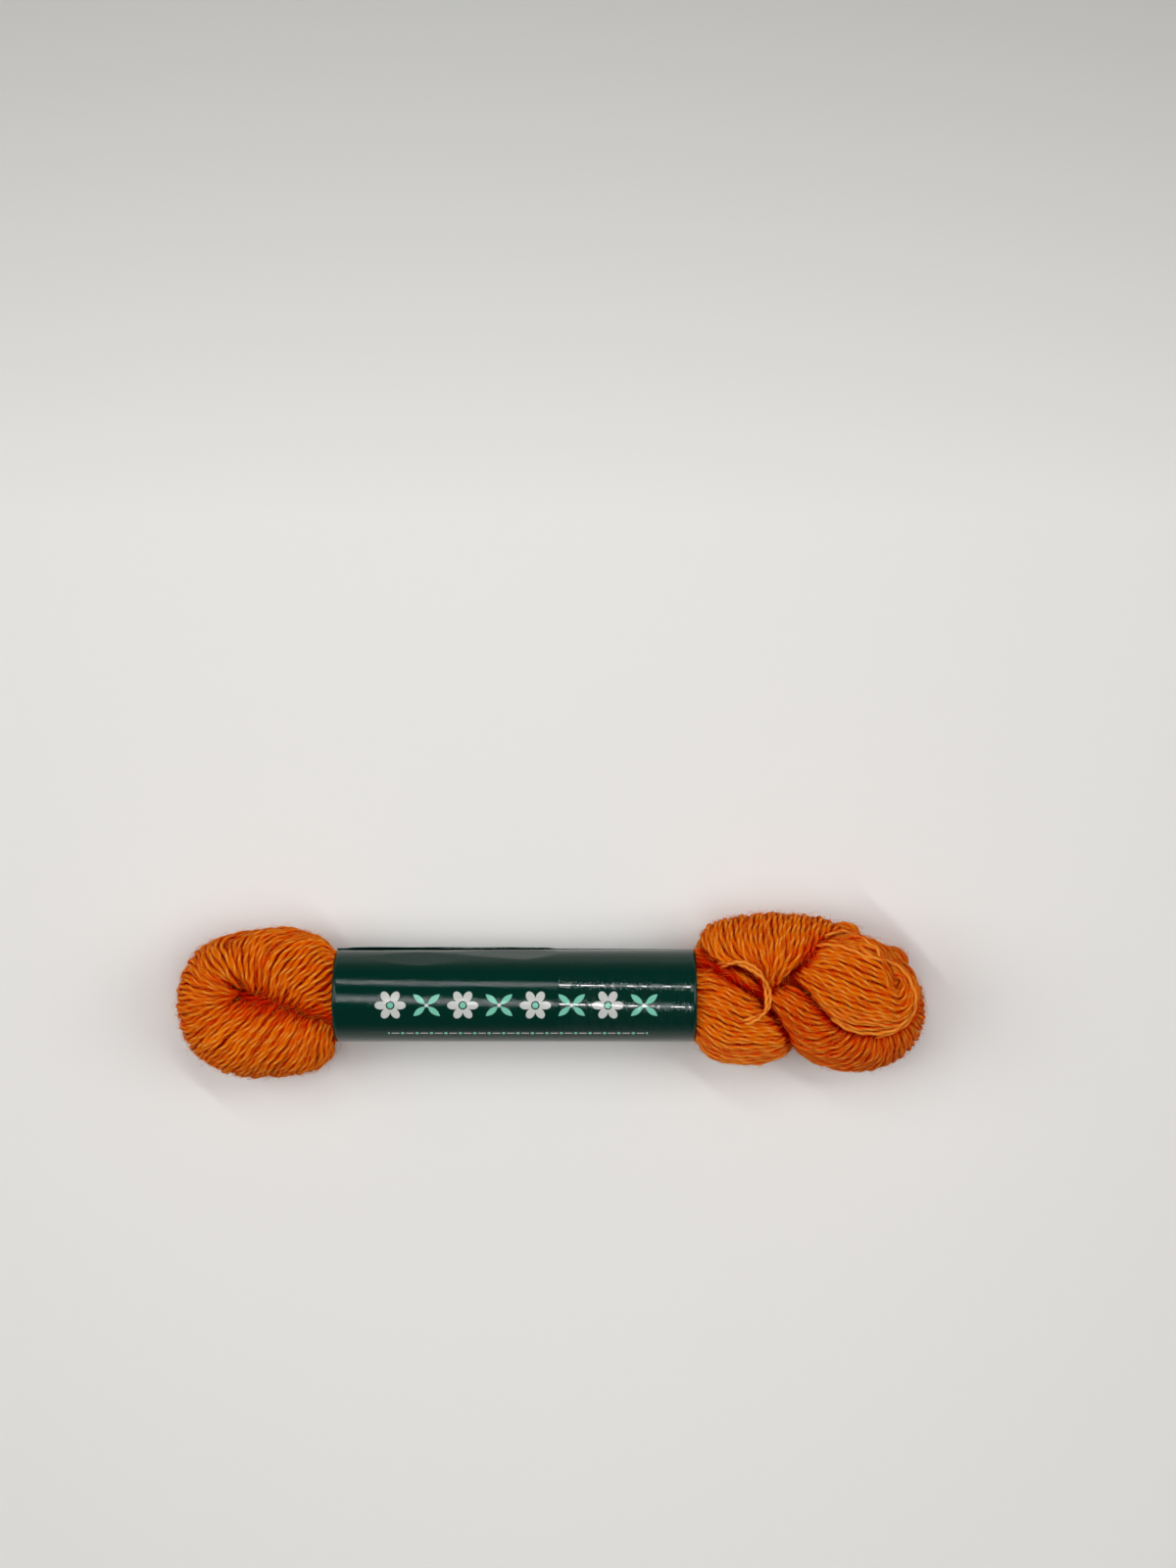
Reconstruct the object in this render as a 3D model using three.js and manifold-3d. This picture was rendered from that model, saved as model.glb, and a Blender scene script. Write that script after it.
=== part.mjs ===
// Twisted hank of wool yarn lying on its side, held at the waist by a paper label sleeve.
// Millimetres, +Z up, +X along the hank. The origin is on the surface it lies on, under the middle of its box.
import * as THREE from 'three';
import { mergeVertices } from 'three/addons/utils/BufferGeometryUtils.js';
import Module from 'manifold-3d';

const wasm = await Module();
wasm.setup();

// Driving dimensions of the label sleeve: a strip of coated paper rolled into a tube and glued
const sleeveLength = 51.6;
const sleeveOuterRadius = 6.7;
const sleeveWall = 1.0;
const sleeveCentreX = -5.0;
const sleeveAxisHeight = 7.05;
const overlapStep = 0.3;
const overlapFrom = 42;
const overlapTo = 86;
const overlapRamp = 10;
const sleeveSides = 96;

// Clearance between the paper and the yarn
const gap = 0.35;

// Driving dimensions of the yarn bundles: the ridges show how the yarn lies, and the hank is pressed
// flat by restDepth where it rests
const ridgePitch = 3.3;
const ridgeHeight = 0.28;
const ringStep = 1.1;
const ringPoints = 28;
const restDepth = 0.4;

// The top of a bundle, in turns round its section, where the ridges keep their true pitch
const topTurn = 0.25;

// Fineness of the egg shapes, the closest that two vertices stay apart, and a reach past everything
const eggSides = 24;
const eggRings = 14;
const mergeTolerance = 1e-4;
const beyond = 40;

// The fold: one strand bundle leaves the sleeve, turns back on itself and goes in again.
// Heading and pitch are degrees, wide and tall are half sizes, slant is the yarn's angle to the bundle's run.
const foldSections = [
  { x: -24.0, y: 1.0, z: 8.9, heading: 180, pitch: 0, wide: 4.4, tall: 3.0, slant: 40 },
  { x: -30.6, y: 1.2, z: 8.9, heading: 180, pitch: 0, wide: 5.3, tall: 3.4, slant: 42 },
  { x: -33.4, y: 2.6, z: 8.2, heading: 181, pitch: 0, wide: 6.1, tall: 4.6, slant: 46 },
  { x: -38.2, y: 3.8, z: 7.2, heading: 185, pitch: 0, wide: 5.9, tall: 5.4, slant: 54 },
  { x: -43.4, y: 4.3, z: 6.5, heading: 198, pitch: 0, wide: 4.8, tall: 6.0, slant: 72 },
  { x: -47.4, y: 3.7, z: 6.2, heading: 228, pitch: 0, wide: 4.5, tall: 6.1, slant: 88 },
  { x: -49.1, y: 0.3, z: 6.1, heading: 270, pitch: 0, wide: 4.8, tall: 6.2, slant: 90 },
  { x: -48.3, y: -3.6, z: 6.1, heading: 315, pitch: 0, wide: 5.5, tall: 6.2, slant: 84 },
  { x: -44.6, y: -5.9, z: 6.1, heading: 342, pitch: 0, wide: 5.8, tall: 6.3, slant: 70 },
  { x: -39.5, y: -6.3, z: 6.0, heading: 352, pitch: 0, wide: 5.6, tall: 6.3, slant: 64 },
  { x: -34.8, y: -6.6, z: 5.8, heading: 358, pitch: 0, wide: 4.6, tall: 5.7, slant: 66 },
  { x: -31.9, y: -5.6, z: 5.5, heading: 360, pitch: 0, wide: 3.9, tall: 4.4, slant: 70 },
  { x: -29.6, y: -3.2, z: 5.2, heading: 360, pitch: 0, wide: 2.8, tall: 3.0, slant: 60 },
  { x: -24.0, y: -1.0, z: 4.8, heading: 360, pitch: 0, wide: 3.6, tall: 2.4, slant: 45 },
];

// The near bundle at the other end: it leaves the sleeve over the top and dives under the tucked ends
const nearSections = [
  { x: 13.0, y: -0.4, z: 8.8, heading: 0, pitch: 0, wide: 4.4, tall: 3.0, slant: 8 },
  { x: 20.2, y: -0.9, z: 8.8, heading: 0, pitch: 0, wide: 5.4, tall: 3.5, slant: 10 },
  { x: 23.0, y: -2.0, z: 8.6, heading: -5, pitch: 0, wide: 6.3, tall: 4.7, slant: 12 },
  { x: 27.0, y: -3.7, z: 8.0, heading: -12, pitch: 0, wide: 6.1, tall: 5.6, slant: 16 },
  { x: 31.0, y: -5.1, z: 6.6, heading: -10, pitch: -25, wide: 4.6, tall: 5.4, slant: 24 },
  { x: 34.3, y: -4.4, z: 5.2, heading: 25, pitch: -25, wide: 3.4, tall: 4.0, slant: 30 },
  { x: 37.5, y: -1.0, z: 4.2, heading: 55, pitch: 0, wide: 3.6, tall: 3.2, slant: 30 },
  { x: 40.0, y: 3.0, z: 5.0, heading: 60, pitch: 20, wide: 3.2, tall: 3.2, slant: 30 },
];

// The arch: turns of yarn that fan out under the far side, wrap up over it and gather at the neck
const archSections = [
  { x: 17.0, y: 0.5, z: 5.0, heading: 10, pitch: 0, wide: 3.4, tall: 2.4, slant: 4 },
  { x: 21.2, y: 1.6, z: 4.6, heading: 30, pitch: 0, wide: 3.8, tall: 3.2, slant: 4 },
  { x: 26.6, y: 4.4, z: 3.7, heading: 62, pitch: 10, wide: 6.0, tall: 3.6, slant: 4 },
  { x: 31.6, y: 7.4, z: 4.4, heading: 84, pitch: 45, wide: 9.4, tall: 3.6, slant: 4 },
  { x: 32.6, y: 8.6, z: 7.4, heading: 90, pitch: 90, wide: 10.9, tall: 3.2, slant: 4 },
  { x: 32.8, y: 6.6, z: 10.1, heading: 92, pitch: 135, wide: 10.2, tall: 2.9, slant: 4 },
  { x: 32.0, y: 4.4, z: 11.0, heading: 92, pitch: 168, wide: 7.0, tall: 2.8, slant: 4 },
  { x: 31.7, y: 2.6, z: 10.6, heading: 90, pitch: 190, wide: 3.6, tall: 2.6, slant: 4 },
  { x: 31.6, y: 1.0, z: 9.4, heading: 90, pitch: 215, wide: 2.2, tall: 2.4, slant: 4 },
  { x: 31.7, y: -0.4, z: 7.4, heading: 90, pitch: 240, wide: 1.9, tall: 2.2, slant: 4 },
];

// The end bundle: it comes out of the neck, runs along the near side and turns round the end
const endSections = [
  { x: 29.6, y: 2.0, z: 7.8, heading: -40, pitch: 0, wide: 2.0, tall: 2.4, slant: 12 },
  { x: 33.0, y: 0.0, z: 8.7, heading: -38, pitch: 0, wide: 3.5, tall: 4.0, slant: 14 },
  { x: 37.2, y: -2.8, z: 8.2, heading: -30, pitch: 0, wide: 5.2, tall: 5.4, slant: 18 },
  { x: 41.6, y: -4.9, z: 6.8, heading: -14, pitch: 0, wide: 5.7, tall: 6.2, slant: 36 },
  { x: 46.2, y: -5.4, z: 6.0, heading: 12, pitch: 0, wide: 5.3, tall: 6.1, slant: 78 },
  { x: 49.4, y: -3.6, z: 5.8, heading: 48, pitch: 0, wide: 4.6, tall: 5.9, slant: 88 },
  { x: 50.0, y: 0.0, z: 5.8, heading: 92, pitch: 0, wide: 3.8, tall: 5.8, slant: 88 },
  { x: 47.4, y: 3.5, z: 5.8, heading: 135, pitch: 0, wide: 3.5, tall: 5.5, slant: 84 },
  { x: 43.4, y: 5.6, z: 6.0, heading: 162, pitch: 0, wide: 3.3, tall: 4.7, slant: 80 },
  { x: 38.6, y: 6.0, z: 6.2, heading: 178, pitch: 0, wide: 2.8, tall: 3.6, slant: 80 },
];

// The knob: the tucked loop that comes out from under the arch and lies on top of the end bundle
const knobSections = [
  { x: 33.6, y: 5.0, z: 8.0, heading: -14, pitch: 10, wide: 2.4, tall: 2.2, slant: 6 },
  { x: 37.4, y: 4.6, z: 10.1, heading: -20, pitch: 10, wide: 4.4, tall: 3.6, slant: 6 },
  { x: 41.4, y: 3.2, z: 11.7, heading: -24, pitch: 5, wide: 6.4, tall: 4.4, slant: 6 },
  { x: 45.4, y: 1.2, z: 12.0, heading: -16, pitch: -5, wide: 6.3, tall: 4.4, slant: 6 },
  { x: 49.0, y: -0.5, z: 11.2, heading: 12, pitch: -8, wide: 3.8, tall: 3.9, slant: 8 },
  { x: 50.9, y: 1.8, z: 10.5, heading: 64, pitch: -5, wide: 1.9, tall: 3.1, slant: 10 },
  { x: 49.4, y: 4.4, z: 9.9, heading: 130, pitch: 0, wide: 1.6, tall: 2.7, slant: 10 },
  { x: 46.0, y: 6.3, z: 8.9, heading: 152, pitch: -20, wide: 1.8, tall: 2.2, slant: 10 },
  { x: 42.4, y: 7.2, z: 7.8, heading: 166, pitch: -20, wide: 1.8, tall: 2.0, slant: 10 },
];

// Yarn packed inside the sleeve
const coreLength = 45;
const coreInset = 0.15;
const boreSides = 40;

// Egg shapes of packed yarn that fill the hank between its bundles: middle and half sizes
const packedYarn = {
  fold: { x: -41.0, y: -0.9, z: 6.0, rx: 6.0, ry: 3.6, rz: 1.6 },
  waist: { x: -31.0, y: 0.0, z: 6.6, rx: 3.2, ry: 6.2, rz: 5.2 },
  mouth: { x: 23.0, y: 0.4, z: 6.8, rx: 6.5, ry: 6.6, rz: 5.0 },
  arch: { x: 28.6, y: 4.4, z: 7.0, rx: 4.6, ry: 3.2, rz: 3.6 },
  end: { x: 38.0, y: 1.0, z: 7.2, rx: 12.5, ry: 6.8, rz: 5.6 },
  corner: { x: 41.0, y: 6.4, z: 5.8, rx: 4.2, ry: 3.6, rz: 3.4 },
};

// A loose thread that lies over the groove between the near bundle and the arch
// Its places seen from above, from end to end
const looseThread = [
  { x: 22.9, y: 4.6 },
  { x: 25.8, y: 4.7 },
  { x: 27.6, y: 4.3 },
  { x: 29.0, y: 3.2 },
  { x: 29.8, y: 1.7 },
  { x: 30.1, y: -0.2 },
  { x: 29.4, y: -2.0 },
  { x: 27.9, y: -3.4 },
  { x: 25.6, y: -4.4 },
];
const looseRadius = 0.5;
const looseSides = 6;
const looseSteps = 18;
const looseSink = 2 * looseRadius;
const looseLift = 0.3 * looseRadius;

const columns = ['x', 'y', 'z', 'heading', 'pitch', 'wide', 'tall', 'slant'];

// A closed solid from a three.js geometry, with its shared vertices merged
function solid(geometry) {
  const bare = geometry.clone();
  bare.deleteAttribute('normal');
  bare.deleteAttribute('uv');
  const merged = mergeVertices(bare, mergeTolerance);
  return new wasm.Manifold(new wasm.Mesh({
    numProp: 3,
    vertProperties: new Float32Array(merged.attributes.position.array),
    triVerts: new Uint32Array(merged.index.array),
  }));
}

// A three.js geometry from a solid
function geometryOf(manifold) {
  const mesh = manifold.getMesh();
  const geometry = new THREE.BufferGeometry();
  geometry.setAttribute('position', new THREE.BufferAttribute(new Float32Array(mesh.vertProperties), 3));
  geometry.setIndex(new THREE.BufferAttribute(new Uint32Array(mesh.triVerts), 1));
  geometry.computeVertexNormals();
  return geometry;
}

// Evenly spaced sections along a bundle: smooth curves through the rows of its table
function sectionsAlong(rows) {
  const last = rows.length - 1;
  const knots = [0];
  for (let i = 1; i <= last; i += 1) {
    const span = Math.hypot(rows[i].x - rows[i - 1].x, rows[i].y - rows[i - 1].y, rows[i].z - rows[i - 1].z);
    knots.push(knots[i - 1] + span);
  }
  const slope = (i, key) => {
    const before = Math.max(i - 1, 0);
    const after = Math.min(i + 1, last);
    return (rows[after][key] - rows[before][key]) / (knots[after] - knots[before]);
  };
  const valueAt = (i, t, key) => {
    const span = knots[i + 1] - knots[i];
    return (2 * t ** 3 - 3 * t ** 2 + 1) * rows[i][key]
      + (t ** 3 - 2 * t ** 2 + t) * span * slope(i, key)
      + (3 * t ** 2 - 2 * t ** 3) * rows[i + 1][key]
      + (t ** 3 - t ** 2) * span * slope(i + 1, key);
  };
  const count = Math.round(knots[last] / ringStep);
  const sections = [];
  for (let n = 0; n <= count; n += 1) {
    const along = (knots[last] * n) / count;
    let i = 0;
    while (i < last - 1 && knots[i + 1] < along) i += 1;
    const t = (along - knots[i]) / (knots[i + 1] - knots[i]);
    const section = { along };
    for (const key of columns) section[key] = valueAt(i, t, key);
    sections.push(section);
  }
  return sections;
}

// A bundle of yarn swept through its sections, with the lie of its yarn raised as soft ridges.
// The angle round a section starts on the side that the bundle turns towards.
function bundle(rows) {
  const sections = sectionsAlong(rows);
  const points = [];
  const faces = [];
  let wraps = 0;
  sections.forEach((section, n) => {
    const heading = THREE.MathUtils.degToRad(section.heading);
    const pitch = THREE.MathUtils.degToRad(section.pitch);
    const slant = THREE.MathUtils.degToRad(section.slant);
    const forward = new THREE.Vector3(
      Math.cos(heading) * Math.cos(pitch),
      Math.sin(heading) * Math.cos(pitch),
      Math.sin(pitch),
    );
    const side = new THREE.Vector3(-Math.sin(heading), Math.cos(heading), 0);
    const up = new THREE.Vector3().crossVectors(forward, side);
    if (n > 0) wraps += ((section.along - sections[n - 1].along) * Math.sin(slant)) / ridgePitch;
    const starts = (Math.PI * (section.wide + section.tall) * Math.cos(slant)) / ridgePitch;
    for (let k = 0; k < ringPoints; k += 1) {
      const turn = k / ringPoints;
      const angle = 2 * Math.PI * turn;
      const lift = ridgeHeight * Math.cos(2 * Math.PI * (wraps + starts * (turn - topTurn)));
      const point = new THREE.Vector3(section.x, section.y, section.z)
        .addScaledVector(side, (section.wide + lift) * Math.cos(angle))
        .addScaledVector(up, (section.tall + lift) * Math.sin(angle));
      points.push(point.x, point.y, point.z);
    }
  });
  const ringCount = sections.length;
  for (let n = 0; n < ringCount - 1; n += 1) {
    for (let k = 0; k < ringPoints; k += 1) {
      const a = n * ringPoints + k;
      const b = n * ringPoints + ((k + 1) % ringPoints);
      const c = a + ringPoints;
      const d = b + ringPoints;
      faces.push(a, b, d, a, d, c);
    }
  }
  // Each end is closed by a fan of faces to the middle of its section
  for (const [ring, flip] of [[0, true], [ringCount - 1, false]]) {
    const middle = points.length / 3;
    points.push(sections[ring].x, sections[ring].y, sections[ring].z);
    for (let k = 0; k < ringPoints; k += 1) {
      const a = ring * ringPoints + k;
      const b = ring * ringPoints + ((k + 1) % ringPoints);
      faces.push(...(flip ? [middle, b, a] : [middle, a, b]));
    }
  }
  const geometry = new THREE.BufferGeometry();
  geometry.setAttribute('position', new THREE.Float32BufferAttribute(points, 3));
  geometry.setIndex(faces);
  return solid(geometry);
}

// Yarn packed as an egg shape
function packed({ x, y, z, rx, ry, rz }) {
  const geometry = new THREE.SphereGeometry(1, eggSides, eggRings);
  geometry.scale(rx, ry, rz);
  geometry.translate(x, y, z);
  return solid(geometry);
}

// A tube or rod along X, from one closed outline round the sleeve's axis
function alongAxis(outer, inner, length) {
  const outline = (radiusAt, sides) => {
    const ring = [];
    for (let i = 0; i < sides; i += 1) {
      const degrees = (360 * i) / sides;
      const angle = THREE.MathUtils.degToRad(degrees);
      ring.push(new THREE.Vector2(radiusAt(degrees) * Math.cos(angle), radiusAt(degrees) * Math.sin(angle)));
    }
    return ring;
  };
  const shape = new THREE.Shape(outline(outer, sleeveSides));
  if (inner) shape.holes.push(new THREE.Path(outline(inner, boreSides)));
  const geometry = new THREE.ExtrudeGeometry(shape, { depth: length, bevelEnabled: false, curveSegments: 1 });
  // The outline's first axis becomes +Y and its second +Z, and the length runs along +X
  geometry.applyMatrix4(new THREE.Matrix4().set(
    0, 0, 1, sleeveCentreX - length / 2,
    1, 0, 0, 0,
    0, 1, 0, sleeveAxisHeight,
    0, 0, 0, 1,
  ));
  return geometry;
}

// The paper's outer radius: the glued overlap stands proud and its free edge is a step
function sleeveRadius(degrees) {
  if (degrees < overlapFrom || degrees > overlapTo) return sleeveOuterRadius;
  const share = Math.min(1, (overlapTo - degrees) / overlapRamp);
  return sleeveOuterRadius + overlapStep * share;
}

function labelSleeve() {
  const innerRadius = sleeveOuterRadius - sleeveWall;
  return alongAxis(sleeveRadius, () => innerRadius, sleeveLength);
}

// The room that the paper takes, with its clearance, and everything outside it over the same length
function sleeveRoom() {
  const innerRadius = sleeveOuterRadius - sleeveWall - gap;
  return solid(alongAxis(() => beyond, () => innerRadius, sleeveLength + 2 * gap));
}

function packedInSleeve() {
  const radius = sleeveOuterRadius - sleeveWall - gap - coreInset;
  return solid(alongAxis(() => radius, null, coreLength));
}

// Everything under the surface that the hank lies on
function underside() {
  const geometry = new THREE.BoxGeometry(4 * beyond, 4 * beyond, beyond);
  geometry.translate(0, 0, -beyond / 2);
  return solid(geometry);
}

// The loose thread, dropped onto the yarn below it
function looseLoop(body) {
  const mesh = new THREE.Mesh(geometryOf(body), new THREE.MeshStandardMaterial({ side: THREE.DoubleSide }));
  const caster = new THREE.Raycaster();
  const down = new THREE.Vector3(0, 0, -1);
  const height = ({ x, y }) => {
    caster.set(new THREE.Vector3(x, y, beyond), down);
    return caster.intersectObject(mesh)[0].point.z;
  };
  const path = looseThread.map((place, i) => {
    const atEnd = i === 0 || i === looseThread.length - 1;
    return new THREE.Vector3(place.x, place.y, height(place) + (atEnd ? -looseSink : looseLift));
  });
  const curve = new THREE.CatmullRomCurve3(path);
  const ring = [];
  for (let i = 0; i < looseSides; i += 1) {
    const angle = (2 * Math.PI * i) / looseSides;
    ring.push(new THREE.Vector2(looseRadius * Math.cos(angle), looseRadius * Math.sin(angle)));
  }
  const settings = { steps: looseSteps, extrudePath: curve, bevelEnabled: false };
  return solid(new THREE.ExtrudeGeometry(new THREE.Shape(ring), settings));
}

function hank() {
  let body = packedInSleeve();
  for (const rows of [foldSections, nearSections, archSections, endSections, knobSections]) {
    body = body.add(bundle(rows));
  }
  for (const lump of Object.values(packedYarn)) body = body.add(packed(lump));
  body = body.add(looseLoop(body));
  return body.translate([0, 0, -restDepth]).subtract(sleeveRoom()).subtract(underside());
}

const yarn = new THREE.MeshStandardMaterial({ color: 0xc9640f, roughness: 0.95, metalness: 0 });
const coatedPaper = new THREE.MeshStandardMaterial({ color: 0x06251d, roughness: 0.3, metalness: 0 });

const part = new THREE.Group();
part.name = 'twisted_hank';

const hankMesh = new THREE.Mesh(geometryOf(hank()), yarn);
hankMesh.name = 'hank';
part.add(hankMesh);

const sleeveMesh = new THREE.Mesh(labelSleeve(), coatedPaper);
sleeveMesh.name = 'label_sleeve';
part.add(sleeveMesh);

export default part;
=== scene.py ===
"""A twisted hank of orange two-ply merino yarn in a paper label sleeve. Metres, +Z up, +X along the hank."""
import math
from collections import namedtuple

import bpy
import numpy as np
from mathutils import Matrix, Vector
from mathutils.bvhtree import BVHTree


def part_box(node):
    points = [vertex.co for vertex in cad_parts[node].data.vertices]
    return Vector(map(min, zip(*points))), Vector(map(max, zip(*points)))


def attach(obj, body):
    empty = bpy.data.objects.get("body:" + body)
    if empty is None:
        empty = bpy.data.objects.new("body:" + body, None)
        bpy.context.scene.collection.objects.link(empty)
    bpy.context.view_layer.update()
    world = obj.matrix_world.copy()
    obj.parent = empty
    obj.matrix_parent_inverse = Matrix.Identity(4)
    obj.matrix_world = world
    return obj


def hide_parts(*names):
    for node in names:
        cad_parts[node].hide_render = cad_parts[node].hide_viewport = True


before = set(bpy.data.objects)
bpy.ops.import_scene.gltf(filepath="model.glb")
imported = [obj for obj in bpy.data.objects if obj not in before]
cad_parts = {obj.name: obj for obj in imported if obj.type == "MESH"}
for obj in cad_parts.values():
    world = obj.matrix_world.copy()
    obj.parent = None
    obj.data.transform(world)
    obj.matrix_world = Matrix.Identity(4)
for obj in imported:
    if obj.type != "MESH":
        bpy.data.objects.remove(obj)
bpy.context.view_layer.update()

MM = 0.001

# Yarn: a strand is two plies twisted together. Sizes in millimetres
STRAND_WIDTH = 0.78
STRAND_RADIUS = STRAND_WIDTH / 2
STRAND_PITCH = 0.66  # from one strand to the next
PLY_PITCH = 4.8  # the length of one turn of the plies
PEANUT = 0.14  # how far the waist between the plies comes in, as a share of the radius
# A strand's flank gets its extra shade as painted shade in the yarn's colour.
FLANK_PAINTED_SHADE = 0.9  # how much more shade a strand's flank has than its crown
RING, UNDER_RING = 7, 6  # corners round a strand, in the top layer and in the one under it
STEP = 0.34  # from one section of a strand to the next
UNDER_STEP = 1.6 * STEP
FEWEST_STEPS = 6  # a shorter stretch of strand is left out
LONGEST_STRAND = 120

# How the strands lie in the hank, in millimetres
SKIN_RISE = 0.12  # the bundles' surface over the rows below
REST_DEPTH = 0.4  # how far the hank sinks, so that its yarn rests on the table
LAYER_DROP = 0.62  # the second layer under the first
PRESS, PRESS_REACH = 0.6, 1.5  # how far, and from how near, a neighbour presses yarn in
SEAM_PRESS, SEAM_REACH = 1.4, 0.12  # how far wrapped yarn dives into its crease, over this part of a turn
DEEPEST = 7.0  # no point lies deeper than this inside a bundle
SLEEVE_REACH = 2.5  # how far strands run into the sleeve
PHASE_WANDER, WANDER_LENGTH = 0.45, 9.0  # how far strands drift from even spacing, and over what length
RISE = (0.12, (4, 11), 0.09)  # up and down: a wave's height, its lengths, and each strand's own offset
SWAY = (0.11, (6, 16), 0.08)  # the same from side to side
ANY_ANGLE = 6.3

# Painted light and shade in each bundle that differs from the rest, and the yarn's usual random tone
PAINTED_LIGHT_PALENESS = {"near": 0.40, "knob": 0.40, "end": 0.2}
PAINTED_SHADE_TONE = {"end": -0.7}
USUAL_TONE, TONE_SPREAD = 0.5, 0.2
PAINTED_SHADE = {"end": 0.06}
SEAM_PAINTED_SHADE = {"end": 0.3}

# Loose threads dip into the hank over this length at their ends
THREAD_DIP_LENGTH = 1.6

# Long and short hairs that stand off the yarn, for each square millimetre of the bundles
HAIRS = 2.0
NAP = 2.9

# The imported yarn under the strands: its depth under the surface, and how near it comes to table and paper
CORE_DEPTH = STRAND_WIDTH + 0.35
CORE_REST, CORE_CLEAR = 0.5, 0.3

# Label sleeve: a strip of coated paper rolled into a tube. Millimetres, and degrees from +Y towards +Z
PAPER = 0.18
SLEEVE_RADIUS = 6.7
SLEEVE_HEIGHT = 7.05
STRIP_START = -36.0
STRIP_TURN = 394.0
EDGE_SKEW = 0.3  # degrees for each millimetre along the sleeve
OVERLAP_FROM, OVERLAP_RISE = 346, 13  # where the strip steps up onto its own start, and over what angle
# Past this angle the inner side is given the dark printed paper as painted shade in the gap under the flap.
UNDER_FLAP = 318  # past this angle the strip's inner side shows as printed paper
LIFTED_FROM, LIFTED_TO = -29.5, 0.9
LIFTED_ANGLE = 16
FACET_DEPTH, FACET_AT = 0.30, 17.0
DENT_DEPTH, DENT_AT = 0.20, 30.0
TAPE_FROM, TAPE_TO = 1.3, 20.0

# Ornament printed on the strip, in millimetres along it and round it
FLOWER_PITCH = 5.125
FLOWERS = 8
FLOWERS_FROM = 5.7
FLOWERS_AT = 15.3
LEAF_ACROSS, LEAF_DOWN = 0.766, 0.643  # the way a leaf points: 40 degrees from the sleeve's length
DASH_PITCH = 2.05
DASHES = 18
DASHES_FROM = 7.8
DASHES_AT = 20.1

# Camera: straight down over the hank, with the photograph's framing
CAMERA_PLACE = (0.0054, 0.0305, 0.318)
CAMERA_LENS = 49.5
CAMERA_SENSOR = 36.0

# A row for each section of a bundle: the middle, heading and pitch in degrees, half sizes across and up,
# and slant, the angle of the yarn to the bundle's run
Row = namedtuple("Row", "x y z heading pitch wide tall slant")

FOLD = [
    Row(-24.0, 1.0, 8.9, 180, 0, 4.4, 3.0, 40),
    Row(-30.6, 1.2, 8.9, 180, 0, 5.3, 3.4, 42),
    Row(-33.4, 2.6, 8.2, 181, 0, 6.1, 4.6, 46),
    Row(-38.2, 3.8, 7.2, 185, 0, 5.9, 5.4, 54),
    Row(-43.4, 4.3, 6.5, 198, 0, 4.8, 6.0, 72),
    Row(-47.4, 3.7, 6.2, 228, 0, 4.5, 6.1, 88),
    Row(-49.1, 0.3, 6.1, 270, 0, 4.8, 6.2, 90),
    Row(-48.3, -3.6, 6.1, 315, 0, 5.5, 6.2, 84),
    Row(-44.6, -5.9, 6.1, 342, 0, 5.8, 6.3, 70),
    Row(-39.5, -6.3, 6.0, 352, 0, 5.6, 6.3, 64),
    Row(-34.8, -6.6, 5.8, 358, 0, 4.6, 5.7, 66),
    Row(-31.9, -5.6, 5.5, 360, 0, 3.9, 4.4, 70),
    Row(-29.6, -3.2, 5.2, 360, 0, 2.8, 3.0, 60),
    Row(-24.0, -1.0, 4.8, 360, 0, 3.6, 2.4, 45),
]
NEAR = [
    Row(13.0, -0.4, 8.8, 0, 0, 4.4, 3.0, 8),
    Row(20.2, -0.6, 8.8, 0, 0, 5.7, 3.6, 10),
    Row(23.0, -1.6, 8.6, -6, 0, 6.6, 4.7, 12),
    Row(27.0, -3.7, 8.0, -12, 0, 6.1, 5.6, 16),
    Row(31.0, -5.1, 6.6, -10, -25, 4.6, 5.4, 24),
    Row(34.3, -4.4, 5.2, 25, -25, 3.4, 4.0, 30),
    Row(37.5, -1.0, 4.2, 55, 0, 3.6, 3.2, 30),
    Row(40.0, 3.0, 5.0, 60, 20, 3.2, 3.2, 30),
]
ARCH = [
    Row(17.0, 0.5, 5.0, 10, 0, 3.4, 2.4, 4),
    Row(21.2, 1.6, 4.6, 30, 0, 3.8, 3.2, 4),
    Row(26.6, 4.4, 3.7, 62, 10, 6.0, 3.6, 4),
    Row(31.6, 7.4, 4.4, 84, 45, 9.4, 3.6, 4),
    Row(32.6, 8.6, 7.4, 90, 90, 10.9, 3.2, 4),
    Row(32.2, 6.8, 10.3, 92, 138, 10.0, 2.9, 4),
    Row(31.9, 5.3, 11.1, 92, 164, 8.0, 2.6, 4),
    Row(31.7, 4.1, 11.0, 90, 180, 3.8, 2.4, 4),
    Row(31.5, 2.6, 10.3, 90, 202, 1.9, 2.0, 4),
    Row(31.5, 1.3, 9.0, 90, 230, 1.2, 1.7, 4),
    Row(31.6, 0.6, 7.6, 90, 250, 1.0, 1.5, 4),
]
END = [
    Row(29.6, 2.0, 7.8, -40, 0, 2.0, 2.4, 12),
    Row(33.0, 0.0, 8.7, -38, 0, 3.5, 4.0, 14),
    Row(37.2, -2.8, 8.2, -30, 0, 5.2, 5.4, 23),
    Row(41.6, -4.9, 6.8, -14, 0, 5.7, 6.2, 44),
    Row(46.2, -5.4, 6.0, 12, 0, 5.3, 6.1, 71),
    Row(49.4, -3.6, 5.8, 48, 0, 4.6, 5.9, 86),
    Row(50.0, 0.0, 5.8, 92, 0, 3.8, 5.8, 88),
    Row(47.2, 3.2, 5.8, 135, 0, 3.0, 5.4, 84),
    Row(43.4, 5.6, 6.0, 162, 0, 3.3, 4.7, 80),
    Row(38.6, 6.0, 6.2, 178, 0, 2.8, 3.6, 80),
]
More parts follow.
